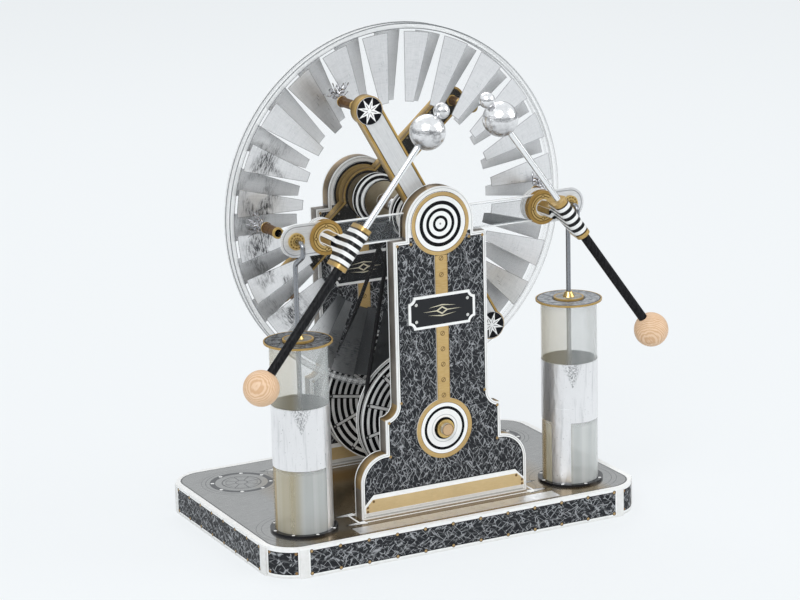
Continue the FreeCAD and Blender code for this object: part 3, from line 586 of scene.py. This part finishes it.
def sector_foil(name, phase, metal=0.85):
    """Foil sectors: fine lines along and across, with crinkles that deepen towards the left and are darkened with
    painted shade.
    """
    f, x, y, z = begun(name, 0.26, metal)
    r, angle = f.polar(x, z - AXLE_Z)
    pitch, first = math.pi / 12, math.radians(phase)
    across = r * folded(angle, pitch, first)
    lengthwise = f.grain(1.0, 3.0, (across * 1.6, r * 0.12, y))
    crosswise = f.grain(1.0, 4.0, (across * 0.16, r * 1.15 + lengthwise * 1.2, y))
    which = ((angle - first) / pitch + 0.5).floor()
    each = f.node("ShaderNodeTexWhiteNoise", {"W": which}, noise_dimensions="1D")
    tone = crosswise * 0.6 + lengthwise * 0.4 + each * 0.10
    colour = f.mix(tone.ramp(0.30, 0.75), (0.70, 0.71, 0.72), (0.95, 0.95, 0.96))
    crinkle = f.grain(1.0, 5.0, (across * 0.22, r * 0.95, each * 40.0), 0.75)
    patch = f.grain(0.06, 2.0, (x, each * 60.0, z)).ramp(0.45, 0.58)
    band = (1 - abs(r - 103.0) / 16.0).ramp(0.0, 0.6)
    # Painted shade: the crumpled patches and their crinkles are darkened; the crumpling also drives the bump.
    crumple_and_shade = (0.0 - x).ramp(10.0, 50.0) * (each > 0.30) * patch * band
    colour = f.over(colour, (crumple_and_shade * 0.35, (0.25, 0.25, 0.26)),
                    (crinkle.ramp(0.47, 0.56) * crumple_and_shade * 0.95, (0.05, 0.05, 0.055)),
                    (crosswise.ramp(0.58, 0.72) * 0.16, (0.20, 0.20, 0.21)))
    half = (r - 72.0) * 0.1326 + 3.3
    rim = (abs(across) > half - 0.35).high(r > 119.1).high(r < 72.4)
    # Painted light: a finish with less metal than the front foil is whitened, so the rear sectors come out as a
    # brighter copy of the same foil.
    colour = f.over(colour, (rim * 0.55, (0.12, 0.12, 0.13)), ((0.85 - metal) * 0.9, (0.95, 0.96, 0.97)))
    # Painted reflection: low in the middle the sectors are darkened, standing for the dark tower face that the foil
    # mirrors.
    low = (AXLE_Z - 22.0 - z).ramp(0.0, 16.0) * (58.0 - abs(x + 4.0)).ramp(0.0, 14.0)
    colour = f.mix(low * (0.9 - each * 0.35), colour, (0.06, 0.068, 0.075))
    f.set(Base_Color=colour, Roughness=lengthwise * 0.2 + (0.55 - metal * 0.4))
    return f.bump(crosswise * 0.4 + crinkle * (crumple_and_shade + 0.15) * 1.6, 0.35, 0.0004)


def across_jar(x, y):
    """How far right of a jar's middle line a point lies, as the photograph sees it."""
    return folded(x, 2 * JAR_X, JAR_X) * 0.893 - (y - JAR_Y) * 0.449


def crumpled_foil(name):
    """Kitchen foil: bright, with a few upright streaks and small sparkling dents; its inside is darkened with
    painted shade.
    """
    f, x, y, z = begun(name, 0.3, 0.9)
    streak = f.grain(1.0, 4.0, (x * 0.35, y * 0.35, z * 0.03), 0.65)
    dents = f.grain(0.30, 4.0, (x, y, z * 0.6))
    fleck = f.grain(0.8, 3.0).ramp(0.66, 0.74)
    colour = f.mix(streak.ramp(0.52, 0.70) * 0.40, (0.88, 0.88, 0.89), (0.42, 0.43, 0.44))
    across = across_jar(x, y)
    # Darker specks in a patch on the front, along the jar's middle line as the camera sees it, widening upwards
    # from 90.5 mm.
    front_middle_specks = (1 - abs(across - 1.0) / (z - 90.0).high(0.01) * 2.0).ramp(0.0, 0.6) * (y < -60.0) * (z > 90.5)
    speck = f.grain(1.1, 4.0, (x, y, z * 0.7), 0.7).ramp(0.46, 0.60)
    colour = f.mix(front_middle_specks * speck * 0.75, colour, (0.10, 0.10, 0.11))
    # Painted shade: faces turned towards the jar's axis, above 66.5 mm, are darkened.
    nx, ny = f.facing()[:2]
    inward = (nx * folded(x, 2 * JAR_X, JAR_X) + ny * (y - JAR_Y)) < -2.0
    colour = f.mix(inward * (z > 66.5) * 0.85, colour, (0.09, 0.105, 0.11))
    f.set(Base_Color=f.mix(fleck * 0.6, colour, (0.12, 0.12, 0.13)))
    return f.set(Roughness=f.grain(0.3, 3.0) * 0.2 + 0.24).bump(dents + streak * 0.6, 0.45, 0.0008)


# Neutralizer bars


def bar_depth(across, along):
    """How far a point lies inside a neutralizer bar's outline."""
    depth = (8.7 - abs(across)) * (abs(along) < BAR_END)
    hub = length(across, along)
    end = length(across, abs(along) - BAR_END)
    return depth.high(18.2 - hub).high(9.9 - end), hub


def neutralizer_bar(name, tilt, dark_way):
    """Silver outer face with gold edges, dark riveted inner face, gold side walls."""
    f, x, y, z = begun(name, 0.32)
    across, along = leaned(x, z, tilt, 0.0, AXLE_Z)
    ny = f.facing()[1]
    depth, hub = bar_depth(across, along)
    brushed = f.grain(1.0, 3.0, (across * 2.4, y, along * 0.08))
    silver = f.mix(brushed.ramp(0.3, 0.75), (0.60, 0.605, 0.61), (0.74, 0.745, 0.75))
    gold = f.mix(f.grain(0.12, 3.0).ramp(), (0.55, 0.37, 0.13), (0.34, 0.21, 0.06))
    rivets = dot(folded(along, 8.0), abs(across), 0.0, 6.0, 0.894)
    inner = f.mix(rivets, (0.028, 0.026, 0.024), (0.20, 0.17, 0.13))
    olive = f.mix(f.grain(0.1, 2.0), (0.10, 0.078, 0.045), (0.22, 0.17, 0.10))
    inner = f.over(inner, (hub < 15.4, olive), ((abs(hub - 15.4) < 0.4).high(abs(hub - 11.0) < 0.3), INK))
    face = f.over(silver, ((ny * dark_way) > 0.5, inner), (depth < 1.95, (0.06, 0.04, 0.015)), (depth < 1.4, gold))
    side = abs(ny) < 0.5
    lane = (abs(y) - 44.5) / 8.5
    wall = f.mix(lane.ramp(0.0, 1.0), (0.15, 0.09, 0.025), (0.60, 0.41, 0.15))
    wall = f.mix(abs(lane - 0.5) > 0.46, wall, (0.10, 0.06, 0.02))
    f.paint(f.mix(side, face, wall), 0.06)
    return f.set(Metallic=side * 0.2 + 0.25, Roughness=brushed * 0.15 + 0.24)


def star_cap(name, tilt):
    """White eight-pointed star on black, each point with a fine groove."""
    f, x, y, z = begun(name, 0.36)
    across, along = leaned(x, z, tilt, 0.0, AXLE_Z)
    r, angle = f.polar(across, abs(along) - BAR_END)
    out, off = slices(r, angle, EIGHTH)
    off = abs(off)
    star = (off < (8.9 - out) * 0.245) * (out < 8.9)
    groove = (off < 0.24) * (out > 1.4) * (out < 5.2)
    colour = f.over((0.008, 0.008, 0.010), (star * (1 - groove * 0.8), WHITE),
                    (f.aside().high(r > 9.0), (0.55, 0.55, 0.56)))
    return f.paint(colour, 0.04)


def brush_print(name, bore_x=0.0):
    """Brown eight-sided tube with gold rings; a comb's tube has a dark hole in front."""
    f, x, y, z = begun(name, 0.36)
    depth = abs(y)
    brown = f.mix(f.grain(0.5, 3.0).ramp(), (0.075, 0.038, 0.014), (0.17, 0.095, 0.042))
    hair = (depth % 3.1) < 0.4
    brown = f.mix(hair * 0.5, brown, (0.03, 0.016, 0.007))
    ring = (depth < 13.2).high((depth > 29.6) * (depth < 31.7)).high((depth > 42.2) * (depth < 45.4))
    colour = f.mix(ring, brown, (0.60, 0.41, 0.14))
    if bore_x:
        hole = dot(abs(x), z, bore_x, AXLE_Z, 2.57)
        colour = f.mix(hole * (depth > 28.0), colour, INK)
    return f.set(Base_Color=colour, Metallic=ring * 0.5 + 0.1)


# Collectors and electrodes


def collector_print():
    """Gold disc with a pale middle and four rivets, on a white drum with thin lines."""
    f, x, y, z = begun("collector_drum_print", 0.32)
    r, angle = f.polar(abs(x) - HUB_X, z - AXLE_Z)
    gold = f.mix(f.grain(0.4, 3.0).ramp(), (0.62, 0.45, 0.19), (0.50, 0.34, 0.12))
    rim = f.mix(f.grain(0.2, 2.0), (0.46, 0.29, 0.09), (0.30, 0.18, 0.05))
    out, off = slices(r, angle, math.pi / 2)
    stud = length(out - 7.6, off)
    face = f.over(gold, (r > 9.3, rim), ((abs(r - 7.6) < 0.3).high(abs(r - 9.3) < 0.25), (0.11, 0.065, 0.02)),
                  (stud < 1.25, (0.10, 0.06, 0.02)), (stud < 0.75, (0.62, 0.45, 0.19)), (r < 5.6, WHITE))
    lane = abs(abs(y) - 52.4)
    drum = f.over(WHITE, ((abs(lane - 0.7) < 0.22).high(abs(lane - 2.4) < 0.22), 0.10), (abs(y) > 57.0, rim))
    return f.paint(f.mix(f.aside(), face, drum), 0.06).set(Metallic=(abs(y) > 57.0) * 0.3)


def terminal_print():
    """Silver card plate with a fine line inside its edge, and a gold boss of brown rings."""
    f, x, y, z = begun("terminal_plate_print", 0.3, 0.5)
    side, rise = abs(x), z - AXLE_Z
    edge = length((side - JAR_X).high(HUB_X - side).high(0.0), rise)
    brushed = f.grain(1.2, 3.0, (x * 0.15, y, z * 2.0))
    silver = f.mix(brushed.ramp(), (0.62, 0.63, 0.64), (0.80, 0.80, 0.81))
    face = f.mix((abs(edge - 9.2) < 0.3) * 0.7, silver, (0.16, 0.16, 0.17))
    r, angle = f.polar(side - JAR_X, rise)
    boss = f.mix((r % 1.9) < 0.95, (0.55, 0.38, 0.14), (0.17, 0.095, 0.03))
    check = ((angle % 0.52) < 0.26) * (r > 1.9)
    boss = f.over(boss, (check * 0.6, (0.62, 0.45, 0.18)), (r > 5.0, (0.60, 0.42, 0.15)))
    front = abs(y) > 58.85
    colour = f.over(face, (front * (r < 5.7), boss), (f.aside() * (1 - front), WHITE))
    return f.paint(colour)


def clamp_print(name, side, lean):
    """Black and white bands across the rod, brass-printed ends and edges."""
    f, x, y, z = begun(name, 0.3)
    along = leaned(x, z, lean, side * HUB_X, AXLE_Z)[1]
    nx, ny, nz = f.facing()
    down = abs(leaned(nx, nz, lean)[1])
    colour = f.mix(((along + 1.3) % 5.2) < 2.6, (0.008, 0.008, 0.009), (0.86, 0.86, 0.85))
    end = abs(along) > 12.2
    brass = f.over((0.60, 0.42, 0.16), (f.grain(0.4, 2.0), (0.40, 0.25, 0.08)),
                   (abs(abs(along) - 12.5) < 0.35, (0.12, 0.07, 0.02)))
    colour = f.mix(end, colour, brass)
    flare = (down > 0.35) * (abs(along) < 15.4)
    edge = f.mix(f.grain(0.3, 2.0), (0.26, 0.17, 0.06), (0.40, 0.28, 0.11))
    colour = f.mix(flare, colour, edge)
    return f.paint(colour).set(Metallic=end.high(flare) * 0.45, Coat_Weight=0.3)


def black_handle(name):
    f, x, y, z = begun(name, 0.24)
    streak = f.grain(0.8, 3.0, (x, y, z * 0.2))
    f.set(Base_Color=f.mix(streak.ramp(0.35, 0.7), (0.008, 0.008, 0.009), (0.022, 0.022, 0.024)))
    return f.set(Roughness=streak * 0.2 + 0.18).bump(streak, 0.08, 0.0001)


# Jars


def jar_lid():
    """Mottled stone paper with gold rims, the left lid darker than the right."""
    f, x, y, z = begun("jar_lid_marble", 0.26)
    r = length(abs(x) - JAR_X, y - JAR_Y)
    cloud = f.grain(0.22, 5.0, None, 0.7)
    vein = f.grain(0.7, 4.0)
    dark = f.mix(cloud.ramp(0.4, 0.6), (0.014, 0.015, 0.018), (0.16, 0.17, 0.18))
    pale = f.mix(cloud.ramp(0.4, 0.6), (0.13, 0.14, 0.16), (0.42, 0.44, 0.46))
    marble = f.over(dark, (x > 0.0, pale), (vein.ramp(0.56, 0.72) * 0.5, 0.46))
    gold = f.mix(f.grain(0.2, 2.0), (0.54, 0.36, 0.12), (0.34, 0.21, 0.06))
    boss = z > 149.6
    colour = f.over(marble, ((r > 21.9).high(boss * (r > 9.0)), gold),
                    ((abs(r - 21.5) < 0.4).high(abs(r - 11.0) < 0.5 * (1 - boss)), 0.02),
                    (boss * (r < 8.6) * 0.5, (0.30, 0.27, 0.20)))
    nz = f.facing()[2]
    colour = f.over(colour, (abs(nz) < 0.5, gold), (nz < -0.5, WHITE))
    return f.paint(colour, 0.06).set(Coat_Weight=0.3)


def jar_ring():
    """Glossy black ring with white dots."""
    f, x, y, z = begun("jar_ring_print", 0.2)
    r, angle = f.polar(abs(x) - JAR_X, y - JAR_Y)
    out, off = slices(r, angle, EIGHTH)
    f.paint(f.mix(dot(out, off, 21.0, 0.0, 1.14), (0.010, 0.010, 0.013), WHITE), 0.1)
    return f.set(Coat_Weight=0.5)


def jar_plastic():
    """Clear film tube: painted light that follows the camera's view, a warm tint on its left, cool grey on its
    right and a painted highlight stripe, denser at the sides.
    """
    f, x, y, z = begun("jar_clear_tube", 0.08, Specular_IOR_Level=0.5)
    across = across_jar(x, y)
    glance = f.glance(0.4)
    streak = f.grain(0.12, 2.0, (x, y, z * 0.02))
    warm = f.mix(streak.ramp(0.35, 0.65), (0.60, 0.54, 0.38), (0.66, 0.62, 0.50))
    cool = f.mix(streak.ramp(0.35, 0.65), (0.66, 0.69, 0.68), (0.82, 0.84, 0.83))
    # Painted light: the warm and cool halves and the pale highlight stripe right of the middle are placed by the
    # camera's view of the tube.
    body = f.over(warm, ((across + streak * 4.0).ramp(-3.0, 3.5), cool), ((abs(across - 8.0) < 0.8) * 0.4, 0.9))
    # Painted reflection: a brown patch low on the tube's left edge.
    f.set(Base_Color=f.mix((across < -17.0) * (z < 66.0) * 0.7, body, (0.46, 0.32, 0.12)))
    low = (66.0 - z).ramp(0.0, 4.0)
    return f.set(Alpha=glance ** 1.6 * 0.40 + streak * 0.08 + low * 0.20 + 0.16)


def hammered():
    """Silver ball wrapped in foil: small soft dents that break up its reflections, and painted shade on its
    underside.
    """
    f = Finish("electrode_ball_foil", 0.14, 1.0)
    dents = f.grain(0.42, 3.0)
    fine = f.cells(0.9, f.place())
    patch = f.grain(0.09, 3.0)
    # Painted shade: where the ball faces downwards it is darkened, in patches.
    low = (0.35 - f.facing()[2] + (patch - 0.5) * 1.6).ramp(0.2, 0.9)
    tone = f.mix(dents.ramp(0.35, 0.65), (0.82, 0.82, 0.83), (0.92, 0.92, 0.93))
    tone = f.mix(low * 0.45, tone, (0.22, 0.22, 0.23))
    f.set(Base_Color=f.mix(patch.ramp(0.56, 0.66) * 0.6, tone, (0.12, 0.12, 0.125)))
    f.set(Roughness=f.grain(0.8, 2.0) * 0.14 + 0.10)
    return f.bump(dents + fine.ramp(0.0, 0.4) * 0.12, 0.42, 0.0006)


def dowel():
    """Silver-painted dowel with bare wood on its sawn ends."""
    f, x, y, z = begun("shaft_dowel", 0.34)
    fibre = f.grain(1.0, 4.0, (x * 2.6, y * 0.1, z * 2.6))
    paint = f.mix(fibre.ramp(0.35, 0.7), (0.62, 0.62, 0.61), (0.44, 0.44, 0.43))
    r = length(x, z - SHAFT_Z)
    rings = f.node("ShaderNodeTexWave", {"Vector": f.join(x, 0.0, z), "Scale": 0.5, "Distortion": 3.0},
                   wave_type="BANDS", out="Fac")
    wood = f.over((0.66, 0.47, 0.29), (rings.ramp(0.2, 0.9), (0.46, 0.29, 0.15)), (r > 3.7, (0.20, 0.13, 0.08)))
    tip = (1 - f.aside()) * (abs(y) > 60.0)
    return f.set(Base_Color=f.mix(tip, paint, wood), Metallic=(1 - tip) * 0.55).bump(fibre, 0.1, 0.0001)


finishes = {
    "base_top": base_top(),
    "base_bottom": white_card("base_white_card"),
    "base_skirts": base_wall(),
    "corner_panels": corner_wall(),
    "corner_posts": white_card("corner_white_card"),
    "base_ribs": grey_card(),
    "disc_axle": polished("axle_steel", (0.58, 0.59, 0.60), 0.22, (2.0, 0.2, 2.0)),
    "crank_shaft": dowel(),
    "front_belt": belt_rubber(),
    "collector_arms": clear_plastic(),
    "collector_plates": terminal_print(),
    "collector_drums": collector_print(),
    "collector_combs": brush_print("comb_tube_print", JAR_X),
    "jar_tubes": jar_plastic(),
    "jar_foils": crumpled_foil("jar_foil"),
    "jar_lids": jar_lid(),
    "jar_rings": jar_ring(),
    "jar_wires": polished("jar_wire_steel", (0.27, 0.28, 0.30), 0.26, (2.0, 2.0, 0.2)),
    "foil_strip": crumpled_foil("foil_strip_foil"),
    "crank_arm": polished("crank_steel", (0.42, 0.43, 0.44), 0.34, (0.3, 2.0, 2.0)),
    "crank_knob": turned_wood("knob_turned_wood", (0.50, 0.30, 0.14), (0.26, 0.13, 0.05), 90.0),
    "shaft_collars": polished("collar_brass", (0.60, 0.42, 0.16), 0.3),
    "lid_nuts": polished("nut_brass", (0.66, 0.47, 0.18), 0.26),
    "electrode_left_rod": polished("electrode_rod_aluminium", (0.84, 0.85, 0.86), 0.18, (2.0, 2.0, 0.3)),
    "electrode_left_balls": hammered(),
    "front_sectors": sector_foil("front_sector_foil", 8.0),
    # The rear sectors are the same foil, made paler and less metallic as painted light.
    "rear_sectors": sector_foil("rear_sector_foil", 14.4, 0.45),
    "front_disc": disc_plastic(),
}
skin = tower_skin()
shared = {
    "face": skin,
    "back": skin,
    "band": side_band(),
    "trim": trim_print(),
    "blocks": turned_wood("block_wood", (0.45, 0.31, 0.17), (0.30, 0.19, 0.09), 0.0, 0.15),
}
pulley_card = pulley()
for tower, first_spoke, tilt, dark_way in (("front", 18.5, FRONT_TILT, 1), ("rear", 8.9, REAR_TILT, -1)):
    for piece, finish in shared.items():
        finishes[tower + "_tower_" + piece] = finish
    finishes[tower + "_drive_wheel"] = drive_wheel(tower + "_wheel_print", first_spoke)
    finishes[tower + "_pulley"] = pulley_card
    arm = tower + "_neutralizer_"
    finishes[arm + "bar"] = neutralizer_bar(arm + "print", tilt, dark_way)
    finishes[arm + "caps"] = star_cap(tower + "_star_print", tilt)
    finishes[arm + "brushes"] = brush_print(tower + "_brush_tube_print")
grip_colours = (0.80, 0.58, 0.40), (0.66, 0.42, 0.25)
for side_name, side, lean in (("left", -1, LEFT_LEAN), ("right", 1, RIGHT_LEAN)):
    electrode = "electrode_" + side_name
    finishes[electrode + "_clamp"] = clamp_print(side_name + "_clamp_print", side, lean)
    finishes[electrode + "_handle"] = black_handle(side_name + "_handle_black")
    finishes[electrode + "_grip"] = turned_wood(side_name + "_grip_wood", *grip_colours, lean)
for name, same in (("electrode_right_rod", "electrode_left_rod"), ("electrode_right_balls", "electrode_left_balls"),
                   ("axle_spacers", "disc_axle"), ("knob_pin", "disc_axle"), ("rear_belt", "front_belt"),
                   ("rear_disc", "front_disc")):
    finishes[name] = finishes[same]

for name, node in nodes.items():
    node.data.materials.clear()
    node.data.materials.append(finishes[name].material)


# Modelled pieces


def alone(piece):
    bpy.ops.object.select_all(action="DESELECT")
    piece.select_set(True)
    bpy.context.view_layer.objects.active = piece


def primitive(kind, name, **settings):
    """Add a primitive with nothing else selected."""
    bpy.ops.object.select_all(action="DESELECT")
    getattr(bpy.ops.mesh, "primitive_" + kind + "_add")(**settings)
    piece = bpy.context.object
    piece.name = name
    return piece


def edit(piece, chosen=None):
    """Open a piece's mesh with the chosen faces selected, or all of them."""
    alone(piece)
    bpy.ops.object.mode_set(mode="EDIT")
    bpy.ops.mesh.select_mode(type="FACE")
    bpy.ops.mesh.select_all(action="DESELECT" if chosen else "SELECT")
    if chosen:
        bpy.ops.object.mode_set(mode="OBJECT")
        for face in piece.data.polygons:
            face.select = chosen(face)
        bpy.ops.object.mode_set(mode="EDIT")


def shut():
    bpy.ops.object.mode_set(mode="OBJECT")


def settle(piece):
    alone(piece)
    bpy.ops.object.transform_apply(location=True, rotation=True, scale=True)
    return piece


def finish_with(piece, kind, **settings):
    alone(piece)
    modifier = piece.modifiers.new(kind.lower(), kind)
    for name, value in settings.items():
        setattr(modifier, name, value)
    bpy.ops.object.modifier_apply(modifier=modifier.name)
    return piece


def eased(piece, width, segments=2):
    """Round off the sharp edges, by a width in millimetres."""
    return finish_with(piece, "BEVEL", width=width * MM, segments=segments, limit_method="ANGLE",
                       angle_limit=SHARP)


def y_cylinder(name, vertices, radius, long, place, turn=0.0):
    """A cylinder along Y with its middle at place, in millimetres."""
    piece = primitive("cylinder", name, vertices=vertices, radius=radius * MM, depth=long * MM,
                      location=[value * MM for value in place], rotation=(math.pi / 2, turn, 0))
    return settle(piece)


def pull(x, y, z):
    """Draw the chosen faces or edges out."""
    bpy.ops.mesh.extrude_region_move(TRANSFORM_OT_translate={"value": (x, y, z)})


def twin(piece):
    copy = piece.copy()
    copy.data = piece.data.copy()
    bpy.context.scene.collection.objects.link(copy)
    return copy


def joined(pieces, name):
    bpy.ops.object.select_all(action="DESELECT")
    for piece in pieces:
        piece.select_set(True)
    bpy.context.view_layer.objects.active = pieces[0]
    bpy.ops.object.join()
    piece = bpy.context.object
    piece.name = name
    return settle(piece)


def fit(piece, body, finish, slot, *replaced):
    """Give a modelled piece its finish, its body and what it replaces."""
    piece.data.materials.clear()
    piece.data.materials.append(finish.material)
    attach(piece, body)
    if replaced:
        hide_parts(*replaced)


def tinsel_strip(dice):
    """A narrow strip of foil drawn out edge by edge: it leaves the tube and bends outwards, crinkling."""
    piece = primitive("plane", "tinsel_strip", size=0.8 * MM, location=(0, 0, 0))
    edit(piece)
    bpy.ops.mesh.select_mode(type="EDGE")
    bpy.ops.mesh.select_all(action="DESELECT")
    shut()
    verts = piece.data.vertices
    for side in piece.data.edges:
        side.select = all(verts[i].co.y > 0 for i in side.vertices)
    bpy.ops.object.mode_set(mode="EDIT")
    lean, place = 20.0, Vector((0, 0.4 * MM, 0))
    for step in range(8):
        lean = min(88.0, lean + dice.uniform(8.0, 26.0))
        reach = dice.uniform(1.2, 1.9) * MM
        crinkle = (0.42 if step % 2 else -0.42) * MM * dice.uniform(0.5, 1.3)
        a = math.radians(lean)
        move = Vector((dice.uniform(-0.55, 0.55) * MM, math.cos(a) * reach - math.sin(a) * crinkle,
                       math.sin(a) * reach + math.cos(a) * crinkle))
        pull(*move)
        place += move
        bpy.ops.transform.resize(value=(dice.uniform(0.75, 1.3), 1, 1), center_override=place)
        bpy.ops.transform.rotate(value=math.radians(dice.uniform(-28, 28)), orient_axis="Z", center_override=place)
    shut()
    return finish_with(piece, "SOLIDIFY", thickness=0.09 * MM, offset=0.0)


def tinsel_bunch(dice):
    """Strips fanned out mostly one way (+Z) round the tube's end, which faces +Y."""
    kinds = [tinsel_strip(dice) for kind in range(5)]
    bunch = []
    for number in range(24):
        strip = twin(kinds[number % len(kinds)])
        strip.rotation_euler = (0, math.radians(dice.gauss(0, 26)), 0)
        size = dice.uniform(0.5, 1.0)
        strip.scale = (1.0, size, size)
        out = strip.rotation_euler.to_matrix() @ Vector((0, 0, dice.uniform(0.4, 2.4) * MM))
        strip.location = out + Vector((0, dice.uniform(-0.9, 0.3) * MM, 0))
        bunch.append(strip)
    for kind in kinds:
        bpy.data.objects.remove(kind)
    return joined(bunch, "tinsel_bunch")


def brush_tube(depth_end, depth_root, socket):
    """Eight-sided tube along Y with a hollow end, a pin in it and a ring at each end."""
    long, middle = depth_root - depth_end, (0, -(depth_end + depth_root) / 2, 0)
    tube = y_cylinder("brush_tube", 8, 3.4, long, middle, math.pi / 8)
    edit(tube, lambda face: abs(face.normal.y) > 0.9)
    bpy.ops.mesh.inset(thickness=0.9 * MM, use_individual=True)
    shut()
    for way in (-1, 1):
        edit(tube, lambda face: face.normal.y * way > 0.9 and face.area > 9 * MM * MM)
        pull(0, -way * 1.6 * MM, 0)
        shut()
    parts = [eased(tube, 0.16)]
    for depth in (depth_end + 0.7, depth_root - 0.9):
        ring = y_cylinder("brush_ring", 32, 3.85, 1.3, (0, -depth, 0))
        edit(ring, lambda face: abs(face.normal.y) > 0.9)
        bpy.ops.mesh.inset(thickness=0.5 * MM, use_individual=True)
        bpy.ops.mesh.delete(type="FACE")
        shut()
        parts.append(eased(ring, 0.25))
    pin = eased(y_cylinder("brush_pin", 20, socket, long - 0.6, middle), 0.3, 3)
    return joined(parts + [pin], "brush_tube")


def placed(piece, side, x, z, spin):
    """A copy of a brush piece made at the axle's foot: side is -1 in front of the discs, 1 behind."""
    copy = twin(piece)
    copy.matrix_world = (Matrix.Translation((x * MM, 0, z * MM)) @ Matrix.Rotation(math.radians(spin), 4, "Y")
                         @ Matrix.Rotation(math.pi if side > 0 else 0.0, 4, "Z"))
    return settle(copy)


dice = random.Random(41)
bunch = tinsel_bunch(dice)
bunch.location.y = -12.0 * MM
settle(bunch)
bar_tube = brush_tube(12.0, 44.4, 2.2)
comb_tube = brush_tube(12.0, 31.5, 1.2)
tinsel = polished("tinsel_foil", (0.42, 0.42, 0.44), 0.24, None, 0.8)
for tower, side, tilt in (("front", -1, FRONT_TILT), ("rear", 1, REAR_TILT)):
    tubes, tufts = [], []
    for way in (-1, 1):
        a = math.radians(tilt)
        x, z = way * BAR_END * math.sin(a), AXLE_Z + way * BAR_END * math.cos(a)
        spin = tilt + (0.0 if way > 0 else 180.0)
        tubes.append(placed(bar_tube, side, x, z, spin))
        tufts.append(placed(bunch, side, x, z, spin - tilt * 0.8))
    body = tower + "_neutralizer"
    fit(joined(tubes, body + "_brush_tubes"), body, finishes[body + "_brushes"], "brush_brown", body + "_brushes")
    fit(joined(tufts, body + "_tinsel"), body, tinsel, "foil_bright", body + "_brushes")
tubes, tufts = [], []
for side in (-1, 1):
    tubes.append(placed(comb_tube, -1, side * JAR_X, AXLE_Z, side * 70.0))
    tufts.append(placed(bunch, -1, side * JAR_X, AXLE_Z, side * 60.0))
fit(joined(tubes, "collector_comb_tubes"), "stand", finishes["collector_combs"], "brush_brown", "collector_combs")
fit(joined(tufts, "collector_comb_tinsel"), "stand", tinsel, "foil_bright", "collector_combs")
wires = []
for side in (-1, 1):
    wire = y_cylinder("comb_wire", 16, 1.2, 26.1, (side * JAR_X, -44.55, AXLE_Z))
    edit(wire, lambda face: face.normal.y > 0.9)
    pull(0, 0.8 * MM, 0)
    bpy.ops.transform.resize(value=(0.5, 1, 0.5), center_override=(side * JAR_X * MM, -30.7 * MM, AXLE_Z * MM))
    shut()
    wires.append(wire)
wire = joined(wires, "collector_comb_wires")
alone(wire)
bpy.ops.object.shade_smooth_by_angle(angle=SHARP)
fit(wire, "stand", finishes["disc_axle"], "steel_rod", "collector_combs")
for spare in (bunch, bar_tube, comb_tube):
    bpy.data.objects.remove(spare)


# Studio: a pale floor and room, soft lamps, and the photograph's camera

PAPER = (0.885, 0.915, 0.935)
MIDDLE = Vector((0, 0, 0.15))


def seen(nodes):
    """1 for the camera's rays and for those that a mirror or a clear sheet sends on."""
    eye, mirror, clear = [nodes.node("ShaderNodeLightPath", out="Is " + kind + " Ray")
                          for kind in ("Camera", "Glossy", "Transmission")]
    return eye.high(mirror).high(clear)


def studio():
    """A pale floor that keeps a soft shadow, and a pale room with a dark band low down for the metals."""
    floor = primitive("plane", "studio_floor", size=8.0, location=(0, 0, -0.0002))
    f = Finish("studio_paper", 0.9, Base_Color=PAPER)
    glow = f.node("ShaderNodeEmission", {"Color": PAPER})
    lit = f.node("ShaderNodeMixShader", (seen(f) * 0.80, Tone(f, f.shader.outputs[0]), glow))
    f.fill(f.tree.nodes["Material Output"].inputs["Surface"], lit)
    floor.data.materials.append(f.material)
    world = bpy.data.worlds.new("studio_air")
    bpy.context.scene.world = world
    air = Nodes(world)
    height = air.xyz(air.node("ShaderNodeTexCoord", out="Generated"))[2]
    shade = air.tree.nodes["Background"].inputs
    air.fill(shade["Color"], air.mix(height.ramp(0.02, 0.34), (0.16, 0.17, 0.18), PAPER))
    air.fill(shade["Strength"], seen(air) * 0.3 + 0.7)


def lamp(name, place, size, power):
    """A soft rectangular lamp that faces the machine's middle."""
    data = bpy.data.lights.new(name, "AREA")
    data.shape = "RECTANGLE"
    data.size, data.size_y = size
    data.energy = power
    lamp_object = bpy.data.objects.new(name, data)
    lamp_object.location = place
    lamp_object.rotation_euler = (MIDDLE - Vector(place)).to_track_quat("-Z", "Y").to_euler()
    bpy.context.scene.collection.objects.link(lamp_object)


def camera():
    """The camera solved from the photograph, in metres and degrees."""
    data = bpy.data.cameras.new("photo_camera")
    data.sensor_width = 36.0
    data.lens = 124.58
    data.clip_start, data.clip_end = 0.05, 40.0
    eye = bpy.data.objects.new("photo_camera", data)
    turn, dip, roll = math.radians(-26.743), math.radians(-14.541), math.radians(-1.4351)
    ahead = Vector((math.sin(-turn) * math.cos(dip), math.cos(turn) * math.cos(dip), math.sin(dip)))
    right = ahead.cross(Vector((0, 0, 1))).normalized()
    up = right.cross(ahead)
    right, up = (right * math.cos(roll) + up * math.sin(roll), up * math.cos(roll) - right * math.sin(roll))
    eye.matrix_world = Matrix((
        (right.x, up.x, -ahead.x, -0.82387),
        (right.y, up.y, -ahead.y, -1.63792),
        (right.z, up.z, -ahead.z, 0.62518),
        (0, 0, 0, 1),
    ))
    bpy.context.scene.collection.objects.link(eye)
    bpy.context.scene.camera = eye


studio()
lamp("key_softbox", (-1.1, -1.3, 1.7), (1.2, 1.0), 25.0)
lamp("fill_softbox", (1.6, -0.9, 1.0), (1.2, 1.2), 10.0)
lamp("back_softbox", (0.3, 1.5, 1.6), (1.6, 0.8), 10.0)
camera()
bpy.context.scene.view_settings.view_transform = "Standard"
